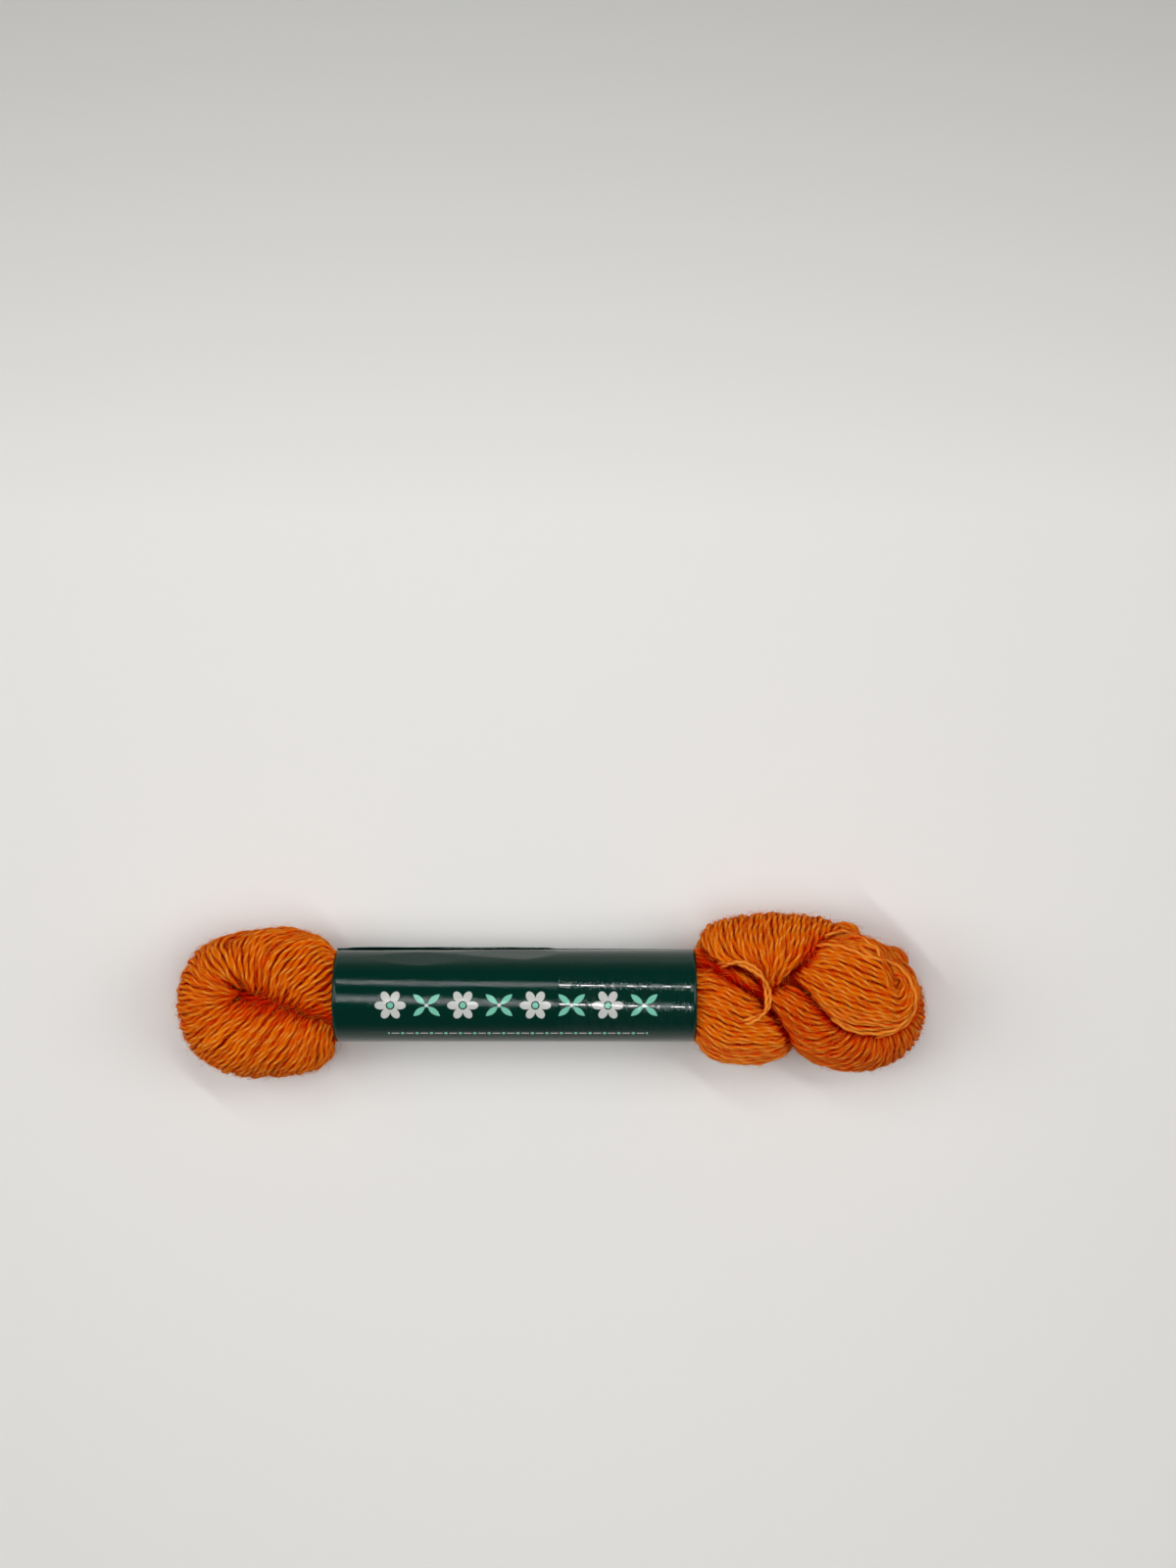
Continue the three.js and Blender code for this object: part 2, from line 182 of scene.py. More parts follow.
KNOB = [
    Row(33.6, 5.0, 8.0, -14, 10, 2.4, 2.2, 6),
    Row(37.4, 4.6, 10.1, -20, 10, 4.4, 3.6, 6),
    Row(41.4, 3.2, 11.7, -24, 5, 6.4, 4.4, 6),
    Row(45.4, 1.2, 12.0, -16, -5, 6.3, 4.4, 6),
    Row(49.0, -0.5, 11.2, 12, -8, 3.8, 3.9, 8),
    Row(50.6, 1.9, 10.8, 64, -5, 2.3, 3.1, 10),
    Row(48.9, 3.9, 10.4, 130, 0, 1.9, 2.8, 10),
    Row(46.0, 6.3, 9.2, 152, -20, 1.8, 2.2, 10),
    Row(42.4, 7.2, 7.8, 166, -20, 1.8, 2.0, 10),
]
GROOVE = [
    Row(18.5, 4.6, 6.8, -12, 0, 2.6, 2.8, -14),
    Row(22.5, 4.2, 7.7, -20, 0, 3.0, 2.9, -18),
    Row(26.0, 3.0, 8.5, -28, 0, 3.1, 2.9, -20),
    Row(29.5, 1.2, 8.0, -24, -6, 3.1, 2.9, -16),
    Row(34.0, 1.2, 7.6, 4, 0, 3.4, 3.0, -6),
    Row(40.0, 1.6, 7.6, 2, 0, 3.0, 2.4, 0),
]
CREASE = [
    Row(-47.0, 1.4, 6.0, -15, 10, 1.0, 1.0, 20),
    Row(-44.0, 0.7, 7.1, -12, 4, 2.0, 1.4, 30),
    Row(-41.0, 0.0, 7.5, -16, 0, 2.6, 1.5, 35),
    Row(-37.5, -1.1, 7.5, -18, 0, 2.7, 1.5, 35),
    Row(-34.0, -2.3, 7.3, -16, 0, 2.4, 1.4, 35),
    Row(-29.0, -3.3, 6.4, -8, 0, 2.0, 1.3, 30),
]
SWIRL = [
    Row(44.6, 3.8, 10.4, 5, 10, 1.0, 1.2, 0),
    Row(46.8, 3.9, 11.0, -8, 5, 1.4, 1.3, 0),
    Row(48.4, 3.2, 11.3, -35, 0, 1.6, 1.3, 0),
    Row(49.3, 1.9, 11.3, -70, 0, 1.5, 1.3, 0),
    Row(49.3, 0.6, 11.0, -100, -10, 1.1, 1.2, 0),
]
FAR_TUFT = [
    Row(38.5, 8.0, 6.5, 20, 0, 1.0, 1.0, 0),
    Row(41.4, 9.2, 7.0, 15, 0, 1.2, 1.2, 0),
    Row(43.1, 9.4, 7.1, -20, 0, 1.1, 1.2, 0),
    Row(43.8, 8.6, 6.9, -80, 0, 0.9, 1.1, 0),
    Row(43.5, 7.2, 6.4, -110, 0, 0.8, 1.0, 0),
]
SIDE_TUFT = [
    Row(45.5, 6.5, 7.4, 0, 0, 0.9, 0.9, 0),
    Row(48.3, 6.3, 7.8, -5, 0, 1.1, 1.0, 0),
    Row(50.0, 5.8, 7.8, -30, 0, 1.0, 1.0, 0),
    Row(50.6, 4.7, 7.5, -85, 0, 0.9, 1.0, 0),
    Row(50.1, 3.3, 7.1, -110, 0, 0.8, 0.9, 0),
]

# How each bundle's yarn lies, and its part in the hank. "wrap" yarn goes round the bundle out of its
# crease and "run" yarn runs along it. A "main" bundle presses on its neighbours, "deep" yarn lies at the
# bottom of a crease and a "tuft" stands out at the edge
BUNDLES = {
    "fold": (FOLD, "wrap", "main"),
    "near": (NEAR, "run", "main"),
    "arch": (ARCH, "run", "main"),
    "groove": (GROOVE, "run", "main"),
    "end": (END, "wrap", "main"),
    "knob": (KNOB, "run", "main"),
    "crease": (CREASE, "run", "deep"),
    "swirl": (SWIRL, "run", "tuft"),
    "far_tuft": (FAR_TUFT, "run", "tuft"),
    "side_tuft": (SIDE_TUFT, "run", "tuft"),
}

# The loose thread over the groove, from end to end, seen from above
LOOSE = [(24.1, 4.6), (25.5, 5.1), (27.3, 5.1), (28.4, 4.6), (29.3, 4.0), (30.1, 3.2), (30.6, 2.1),
         (31.0, 0.1), (30.7, -1.5), (29.3, -2.5), (27.3, -3.3)]

# Single strands that lie over the knob and beside it, from end to end, seen from above, with their shade
STRAYS = [
    (0.9, [(37.8, 7.6), (39.8, 7.8), (42.1, 7.3), (44.4, 6.3), (46.3, 5.9), (48.0, 5.4), (49.9, 4.2),
           (51.1, 2.3), (51.7, 0.2), (51.5, -1.7), (50.6, -3.4), (48.6, -4.7), (46.3, -5.6)]),
    (0.8, [(39.0, 8.7), (41.0, 9.4), (43.3, 9.2), (44.9, 8.2), (46.2, 7.1), (46.5, 5.6)]),
    (0.7, [(43.6, 8.0), (44.5, 6.8), (45.9, 6.0)]),
    (0.9, [(39.8, -2.6), (42.1, -4.1), (44.4, -4.7), (46.8, -4.7), (49.1, -4.0), (50.9, -2.2)]),
]

# Yarn packed between the bundles, a rounded lump for each row: its middle and half sizes
Lump = namedtuple("Lump", "x y z rx ry rz")
PACKED = [
    Lump(-41.0, -0.9, 5.6, 6.0, 3.6, 1.6),
    Lump(-31.0, 0.0, 6.2, 3.2, 5.6, 4.6),
    Lump(23.0, 0.4, 6.0, 6.5, 5.2, 3.4),
    Lump(28.6, 4.4, 6.6, 4.0, 2.8, 3.2),
    Lump(38.0, 1.0, 6.4, 11.5, 5.8, 3.6),
    Lump(41.0, 6.0, 5.4, 3.6, 3.0, 2.8),
]


# Sections and surfaces of the bundles

def lengths_along(points):
    """The distance of each point of a line from its start."""
    return np.concatenate([[0], np.cumsum(np.linalg.norm(np.diff(points, axis=0), axis=1))])


def unit(vectors):
    """The vectors at length one."""
    return vectors / np.maximum(np.linalg.norm(vectors, axis=-1, keepdims=True), 1e-9)


def curve_through(table, slope, knots, along):
    """Values on the smooth curve that has the table's values and slopes at the knots."""
    i = np.clip(np.searchsorted(knots, along, side="right") - 1, 0, len(knots) - 2)
    span = (knots[i + 1] - knots[i])[:, None]
    t = (along[:, None] - knots[i][:, None]) / span
    return ((2 * t**3 - 3 * t**2 + 1) * table[i] + (t**3 - 2 * t**2 + t) * span * slope[i]
            + (3 * t**2 - 2 * t**3) * table[i + 1] + (t**3 - t**2) * span * slope[i + 1])


def smooth_rows(rows, count):
    """Evenly spaced sections on smooth curves through the rows."""
    table = np.array(rows, float)
    knots = lengths_along(table[:, :3])
    last = len(rows) - 1
    before = np.maximum(np.arange(last + 1) - 1, 0)
    after = np.minimum(np.arange(last + 1) + 1, last)
    slope = (table[after] - table[before]) / (knots[after] - knots[before])[:, None]
    along = np.linspace(0, knots[-1], count)
    return along, curve_through(table, slope, knots, along)


class Bundle:
    """The surface of one bundle on a grid of sections and angles, and the lie of its yarn on it."""

    SECTIONS = 260
    ANGLES = 96
    EVEN_AT = {"run": 0.25, "wrap": 0.37}  # the turn at which the strands are evenly spaced
    OUTER_AT = 0.36  # the turn at which wrapped yarn keeps its pitch
    FOLDED = 0.45  # a normal whose cosine with the outward way is under this is turned towards it
    THICKEST = 80  # run yarn is counted where this percentage of the bundle is slimmer

    def __init__(self, rows, lie, part, pitch, seed):
        self.lie = lie
        self.part = part
        along, v = smooth_rows(rows, self.SECTIONS)
        heading, tilt, slant = np.radians(v[:, 3]), np.radians(v[:, 4]), np.radians(v[:, 7])
        forward = np.stack([np.cos(heading) * np.cos(tilt), np.sin(heading) * np.cos(tilt), np.sin(tilt)], 1)
        side = np.stack([-np.sin(heading), np.cos(heading), 0 * heading], 1)
        up = np.cross(forward, side)
        self.turn = np.linspace(0, 1, self.ANGLES + 1)
        angle = 2 * math.pi * self.turn
        wide = (v[:, 5] + SKIN_RISE)[:, None, None]
        tall = (v[:, 6] + SKIN_RISE)[:, None, None]
        middle = v[:, :3] - np.array([0, 0, REST_DEPTH])
        self.middle = middle
        self.point = (middle[:, None, :] + wide * np.cos(angle)[None, :, None] * side[:, None, :]
                      + tall * np.sin(angle)[None, :, None] * up[:, None, :])
        self.along = along
        d_along = np.gradient(self.point, along, axis=0)
        d_turn = np.gradient(self.point, self.turn, axis=1)
        d_turn[:, 0] = d_turn[:, -1] = 0.5 * (d_turn[:, 0] + d_turn[:, -1])
        normal = unit(np.cross(d_turn, d_along))
        outward = unit(self.point - middle[:, None, :])
        folded = np.clip(1 - (normal * outward).sum(2, keepdims=True) / self.FOLDED, 0, 1)
        self.normal = unit((1 - folded) * normal + folded * outward)
        side_lengths = np.linalg.norm(np.diff(self.point, axis=1), axis=2)
        round_length = side_lengths.sum(1)
        outer = np.linalg.norm(d_along[:, int(self.OUTER_AT * self.ANGLES)], axis=1)
        if lie == "run":
            starts = np.full(self.SECTIONS, round(np.percentile(round_length, self.THICKEST) / pitch))
            wraps = np.sin(slant) / pitch
            share = np.pad(np.cumsum(side_lengths, axis=1), ((0, 0), (1, 0))) / round_length[:, None]
        else:
            starts = round_length * np.cos(slant) / pitch
            wraps = np.sin(slant) * outer / pitch
            share = np.broadcast_to(self.turn, self.point.shape[:2])
        run = np.concatenate([[0], np.cumsum(0.5 * (wraps[1:] + wraps[:-1]) * np.diff(along))])
        self.starts = starts
        even = int(self.EVEN_AT[lie] * self.ANGLES)
        phase = run[:, None] + starts[:, None] * (share - share[:, even:even + 1])
        self.phase = phase + PHASE_WANDER * wander_field(self.point, seed, WANDER_LENGTH)
        p_along = np.gradient(self.phase, along, axis=0)
        p_turn = np.gradient(self.phase, self.turn, axis=1)
        e = (d_along**2).sum(2)
        f = (d_along * d_turn).sum(2)
        g = (d_turn**2).sum(2)
        area = np.maximum(e * g - f * f, 1e-6)
        steepness = g * p_along**2 - 2 * f * p_along * p_turn + e * p_turn**2
        density = np.sqrt(np.maximum(steepness / area, 1e-9))
        length = np.sqrt(np.maximum(e * p_turn**2 - 2 * f * p_turn * p_along + g * p_along**2, 1e-9))
        self.go_along = p_turn / length
        self.go_turn = -p_along / length
        self.spacing = 1 / density

    def at(self, grid, s, t):
        """The grid's value between its points, at distances s along and turns t."""
        x = np.clip(s / self.along[-1], 0, 1) * (self.SECTIONS - 1)
        y = np.mod(t, 1.0) * self.ANGLES if self.lie == "run" else np.clip(t, 0, 1) * self.ANGLES
        i = np.clip(x.astype(int), 0, self.SECTIONS - 2)
        k = np.clip(y.astype(int), 0, self.ANGLES - 1)
        a, b = x - i, y - k
        if grid.ndim == 3:
            a, b = a[..., None], b[..., None]
        return ((1 - a) * (1 - b) * grid[i, k] + a * (1 - b) * grid[i + 1, k]
                + (1 - a) * b * grid[i, k + 1] + a * b * grid[i + 1, k + 1])

    def strands(self, shift, step):
        """Distance and turn along every strand: level lines of the phase at whole numbers plus shift."""
        s0, t0, number = [], [], []
        first = self.phase[0]
        for j in range(math.ceil(first[0] - shift), math.floor(first[-1] - shift) + 1):
            if self.lie == "run" and j + shift >= first[0] + round(self.starts[0]):
                continue
            s0.append(0.0)
            t0.append(np.interp(j + shift, first, self.turn))
            number.append(j)
        if self.lie == "wrap":
            seam = self.phase[:, -1] - shift
            for i in range(self.SECTIONS - 1):
                for j in range(math.floor(seam[i]) + 1, math.floor(seam[i + 1]) + 1):
                    share = (j - seam[i]) / (seam[i + 1] - seam[i])
                    s0.append(self.along[i] + share * (self.along[i + 1] - self.along[i]))
                    t0.append(1.0)
                    number.append(j)
        s, t = np.array(s0), np.array(t0)
        alive = np.ones(len(s), bool)
        path_s, path_t, path_on = [s.copy()], [t.copy()], [alive.copy()]
        for _ in range(int(LONGEST_STRAND / step)):
            mid_s = s + 0.5 * step * self.at(self.go_along, s, t)
            mid_t = t + 0.5 * step * self.at(self.go_turn, s, t)
            s = s + step * self.at(self.go_along, mid_s, mid_t)
            t = t + step * self.at(self.go_turn, mid_s, mid_t)
            alive = alive & (s < self.along[-1]) & (s > -0.5)
            if self.lie == "wrap":
                alive = alive & (t > 0.0) & (t < 1.001)
            if not alive.any():
                break
            path_s.append(s.copy())
            path_t.append(t.copy())
            path_on.append(alive.copy())
        path_s, path_t, path_on = np.array(path_s), np.array(path_t), np.array(path_on)
        for k in range(len(number)):
            count = int(path_on[:, k].sum())
            if count > FEWEST_STEPS:
                yield number[k], path_s[:count, k], path_t[:count, k]

    def outline(self, inset, sections, angles):
        """A closed tube of the bundle's own shape, inset from its surface: points and faces."""
        i = np.linspace(0, self.SECTIONS - 1, sections).astype(int)
        k = np.linspace(0, self.ANGLES, angles + 1).astype(int)[:-1]
        if inset > 0:
            beside = self.beside[i][:, k]
            inset = inset + seam_press(self, self.turn[k])[None, :, None] + 0.5 * pressing(beside)[..., None]
        outward = self.point[i][:, k] - self.middle[i][:, None, :]
        share = np.minimum(inset / np.linalg.norm(outward, axis=2, keepdims=True), 0.85)
        points = (self.point[i][:, k] - share * outward).reshape(-1, 3)
        return points, tube_faces(sections, angles)


def wander_field(points, seed, wavelength):
    """A smooth random field of about plus or minus one over points in millimetres."""
    draw = np.random.default_rng(seed)
    total = np.zeros(points.shape[:-1])
    for _ in range(7):
        direction = draw.normal(size=3)
        direction /= np.linalg.norm(direction)
        k = 2 * math.pi / (wavelength * draw.uniform(0.6, 1.6))
        total += np.sin(points @ (direction * k) + draw.uniform(0, 2 * math.pi))
    return total / 2.6


def tube_faces(rings, sides):
    """Faces of a tube of rings, closed at both ends, as lists of point numbers."""
    faces = []
    for n in range(rings - 1):
        for k in range(sides):
            a = n * sides + k
            b = n * sides + (k + 1) % sides
            faces.append((a, b, b + sides, a + sides))
    faces.append(tuple(reversed(range(sides))))
    faces.append(tuple((rings - 1) * sides + k for k in range(sides)))
    return faces


# Meshes and pieces

def declare(piece, node):
    """Puts a piece on the root body and hides the CAD node it stands for."""
    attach(piece, "root")
    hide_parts(node)


def yarn_piece(name, mesh, material):
    """A mesh as a piece of the hank."""
    piece = bpy.data.objects.new(name, mesh)
    bpy.context.scene.collection.objects.link(piece)
    piece.data.materials.append(material)
    declare(piece, "hank")


def strand_mesh(name, paths, radius, sides, peanut, pitch):
    """One mesh of many closed tubes. Each path is its points in millimetres, the angle its twist starts at,
    its tone, and at each point how pale it is, partly as painted light, how much painted shade it has from
    lying deep or in a crease, and the way out of the hank, by which its flanks get more painted shade."""
    points, loops, starts, tone, uv = [], [], [], [], []
    base = 0
    corner = 0
    ring_angle = 2 * math.pi * np.arange(sides) / sides
    for line, roll, shade, pale, deep, outward in paths:
        n = len(line)
        tangent = unit(np.gradient(line, axis=0))
        side = np.zeros_like(line)
        guide = np.array([0.0, 0.0, 1.0]) if abs(tangent[0][2]) < 0.9 else np.array([1.0, 0.0, 0.0])
        for q in range(n):
            guide = guide - tangent[q] * (guide @ tangent[q])
            guide /= max(np.linalg.norm(guide), 1e-9)
            side[q] = guide
        up = np.cross(tangent, side)
        twist = 2 * math.pi * lengths_along(line) / pitch + roll
        wave = np.cos(2 * (ring_angle[None, :] - twist[:, None]))
        size = radius * (1 - peanut + peanut * wave)
        ends = np.minimum(1, 0.35 + np.minimum(np.arange(n), np.arange(n)[::-1]) / 2)
        size = size * ends[:, None]
        ray = (np.cos(ring_angle)[None, :, None] * side[:, None, :]
               + np.sin(ring_angle)[None, :, None] * up[:, None, :])
        points.append((line[:, None, :] + size[..., None] * ray).reshape(-1, 3))
        # Painted shade: the corners of a strand that face into the hank get more of it.
        flank = 0.5 - 0.5 * np.einsum("nkj,nj->nk", ray, outward)
        painted_shade = deep[:, None] + FLANK_PAINTED_SHADE * flank
        a = base + (np.arange(n - 1)[:, None] * sides + np.arange(sides)[None, :])
        b = base + (np.arange(n - 1)[:, None] * sides + (np.arange(sides)[None, :] + 1) % sides)
        quad = np.stack([a, b, b + sides, a + sides], 2).reshape(-1)
        loops.append(quad)
        count = (n - 1) * sides
        starts.append(corner + 4 * np.arange(count))
        u0 = np.broadcast_to(np.arange(sides)[None, :] / sides, (n - 1, sides))
        u1 = u0 + 1 / sides
        v0 = np.broadcast_to((twist[:-1] / (2 * math.pi))[:, None], (n - 1, sides))
        v1 = np.broadcast_to((twist[1:] / (2 * math.pi))[:, None], (n - 1, sides))
        uv.append(np.stack([u0, v0, u1, v0, u1, v1, u0, v1], 2).reshape(-1))
        corner += 4 * count
        for cap in (base + np.arange(sides)[::-1], base + (n - 1) * sides + np.arange(sides)):
            loops.append(cap)
            starts.append([corner])
            uv.append(np.zeros(2 * sides))
            corner += sides
        tone.append(np.stack([np.full(n * sides, shade), np.repeat(pale, sides), painted_shade.ravel()], 1))
        base += n * sides
    points = np.concatenate(points) * MM
    loops = np.concatenate(loops).astype(np.int32)
    starts = np.concatenate(starts).astype(np.int32)
    mesh = bpy.data.meshes.new(name)
    mesh.vertices.add(len(points))
    mesh.vertices.foreach_set("co", points.astype(np.float32).ravel())
    mesh.loops.add(len(loops))
    mesh.loops.foreach_set("vertex_index", loops)
    mesh.polygons.add(len(starts))
    mesh.polygons.foreach_set("loop_start", starts)
    mesh.polygons.foreach_set("use_smooth", np.ones(len(starts), bool))
    layer = mesh.uv_layers.new(name="twist")
    layer.data.foreach_set("uv", np.concatenate(uv).astype(np.float32))
    tone = np.concatenate(tone).astype(np.float32)
    for column, kind in enumerate(("tone", "pale", "deep")):
        values = np.ascontiguousarray(tone[:, column])
        mesh.attributes.new(kind, "FLOAT", "POINT").data.foreach_set("value", values)
    mesh.update(calc_edges=True)
    mesh.validate()
    return mesh


# Keeping the yarn off the table and round the paper

SLEEVE_BOX = [[axis / MM for axis in corner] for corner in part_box("label_sleeve")]
SLEEVE_FROM, SLEEVE_TO = SLEEVE_BOX[0][0], SLEEVE_BOX[1][0]


def settle(line, radius):
    """Presses a strand's points onto the table and into the sleeve's mouth."""
    line = line.copy()
    line[:, 2] = np.maximum(line[:, 2], radius)
    outside = np.maximum(np.maximum(SLEEVE_FROM - line[:, 0], line[:, 0] - SLEEVE_TO), 0)
    bore = SLEEVE_RADIUS - PAPER - radius - 0.05
    mouth = 0.9
    bulge = np.sqrt(np.clip(outside / mouth, 0, 1)) * (radius + PAPER + 0.1)
    limit = np.where(outside < mouth, bore + bulge, 1e9)
    offset = line[:, 1:] - np.array([0.0, SLEEVE_HEIGHT])
    reach = np.linalg.norm(offset, axis=1)
    pull = np.minimum(1, limit / np.maximum(reach, 1e-6))
    line[:, 1:] = np.array([0.0, SLEEVE_HEIGHT]) + offset * pull[:, None]
    return line


def pressing(beside):
    """How far yarn is pressed in beside another bundle."""
    return PRESS * np.clip(1 - beside / PRESS_REACH, 0, 1.3) ** 2


def seam_press(bundle, t):
    """How far yarn that wraps round a bundle dives into the crease where it starts and ends."""
    if bundle.lie == "run":
        return 0 * t
    return SEAM_PRESS * np.clip(1 - np.minimum(t, 1 - t) / SEAM_REACH, 0, 1) ** 2


def redness(bundle, beside, t):
    """How much painted shade, darker and redder, a crease puts on the yarn, from nought to one: all of it on
    deep yarn, none on tufts, and more beside another bundle and near a wrap's seam.
    """
    if bundle.part == "deep":
        return 1.0
    if bundle.part == "tuft":
        return 0.0
    shade = 0.6 * np.clip(1 - beside / 0.9, 0, 1)
    if bundle.lie == "wrap":
        near_seam = np.clip(1.3 - np.minimum(t, 1 - t) / 0.14, 0, 1)
        shade = np.maximum(shade, bundle.seam_redness * near_seam)
    return shade


def make_bundles():
    """The surface of every bundle, by name."""
    made = {}
    for number, (name, (rows, lie, part)) in enumerate(BUNDLES.items()):
        made[name] = Bundle(rows, lie, part, STRAND_PITCH, 40 + number)
        made[name].seam_redness = SEAM_PAINTED_SHADE.get(name, 1.0)
    return made


def bundle_trees(bundles):
    """A lookup of each main bundle's closed surface."""
    trees = {}
    for name, bundle in bundles.items():
        if bundle.part != "main":
            continue
        points, faces = bundle.outline(0.0, 60, 24)
        trees[name] = BVHTree.FromPolygons([Vector(p) for p in points], faces)
    return trees


def clearance(tree, point):
    """How far a point lies outside a bundle, or below nought inside it."""
    place, normal, _, distance = tree.find_nearest(point)
    within = distance < DEEPEST and (Vector(point) - place).dot(normal) < 0
    return -distance if within else distance


def find_neighbours(bundles, trees):
    """Gives each bundle the clearance of its surface from the other bundles, on its own grid."""
    every = 4
    for name, bundle in bundles.items():
        rows = np.arange(0, bundle.SECTIONS, every)
        columns = np.arange(0, bundle.ANGLES + 1, every)
        coarse = np.full((len(rows), len(columns)), 99.0)
        for other, tree in trees.items():
            if other == name:
                continue
            for a, i in enumerate(rows):
                for b, k in enumerate(columns):
                    coarse[a, b] = min(coarse[a, b], clearance(tree, bundle.point[i, k]))
        along = np.arange(bundle.SECTIONS)
        half = np.array([np.interp(along, rows, coarse[:, b]) for b in range(len(columns))]).T
        bundle.beside = np.array([np.interp(np.arange(bundle.ANGLES + 1), columns, line) for line in half])


def visible_runs(line, beside, hidden_depth):
    """Splits a strand into the stretches that aren't buried in other bundles or deep in the sleeve."""
    in_sleeve = (line[:, 0] > SLEEVE_FROM + SLEEVE_REACH) & (line[:, 0] < SLEEVE_TO - SLEEVE_REACH)
    buried = (beside < -hidden_depth) | in_sleeve
    show = np.convolve((~buried).astype(int), np.ones(5, int), "same") > 0
    edges = np.flatnonzero(np.diff(np.concatenate([[0], show.astype(int), [0]])))
    return [(a, b) for a, b in zip(edges[::2], edges[1::2]) if b - a > FEWEST_STEPS]


def wave_along(draw, length, height, lengths, offset):
    """A slow wave along a strand, moved by the strand's own offset."""
    wave = height * np.sin(2 * math.pi * length / draw.uniform(*lengths) + draw.uniform(0, ANY_ANGLE))
    return wave + draw.normal(0, offset)


def crowding(number, spacing):
    """How far every second and every fourth strand sinks where strands come too close together."""
    crowd = np.clip(STRAND_PITCH * 1.02 - spacing, 0, 0.5) * (1.5 if number % 2 == 1 else 0.0)
    if number % 4 == 2:
        crowd = crowd + np.clip(STRAND_PITCH * 0.55 - spacing, 0, 0.5) * 2.2
    return crowd


def lay_yarn(bundles, layer, step):
    """The strands of one layer of every bundle, as paths for strand_mesh."""
    paths = {name: [] for name in bundles}
    for name, bundle in bundles.items():
        draw = np.random.default_rng(900 + 31 * layer + len(name))
        hidden_depth = 4.0 if bundle.part == "deep" else 1.6 + 0.3 * layer
        for number, s, t in bundle.strands(0.5 * layer, step):
            crowd = crowding(number, bundle.at(bundle.spacing, s, t))
            place = bundle.at(bundle.point, s, t)
            normal = bundle.at(bundle.normal, s, t)
            normal /= np.linalg.norm(normal, axis=1, keepdims=True)
            length = step * np.arange(len(s))
            rise = wave_along(draw, length, *RISE)
            sway = wave_along(draw, length, *SWAY)
            across = np.cross(normal, unit(np.gradient(place, axis=0)))
            beside = bundle.at(bundle.beside, s, t)
            pressed = pressing(beside) if bundle.part == "main" else 0.0
            depth = STRAND_RADIUS + LAYER_DROP * layer + crowd - rise + pressed + seam_press(bundle, t)
            line = place - depth[:, None] * normal + sway[:, None] * across
            line = settle(line, STRAND_RADIUS * 0.98)
            # Painted shade, darker and redder, by depth and beside creases, with more of it in the end
            # bundle.
            deep = np.clip((depth - STRAND_RADIUS) / 1.6, 0, 1) + 0.5 * redness(bundle, beside, t)
            deep = deep + PAINTED_SHADE.get(name, 0.0)
            # Painted light: in the near, knob and end bundles, the sides that face -Y are painted paler.
            pale = np.clip((-normal[:, 1] - 0.25) / 0.6, 0, 1) * PAINTED_LIGHT_PALENESS.get(name, 0.0)
            roll = draw.uniform(0, ANY_ANGLE)
            # A random tone, set low in the end bundle as painted shade.
            tone = float(np.clip(draw.normal(PAINTED_SHADE_TONE.get(name, USUAL_TONE), TONE_SPREAD), -1, 1))
            for a, b in visible_runs(line, beside, hidden_depth):
                paths[name].append((line[a:b], roll, tone, pale[a:b], deep[a:b], normal[a:b]))
    return paths


# Materials

def shader(name):
    """A new material and its one surface node."""
    material = bpy.data.materials.new(name)
    material.use_nodes = True
    nodes = material.node_tree.nodes
    nodes.clear()
    output = nodes.new("ShaderNodeOutputMaterial")
    surface = nodes.new("ShaderNodeBsdfPrincipled")
    material.node_tree.links.new(surface.outputs["BSDF"], output.inputs["Surface"])
    return material, surface


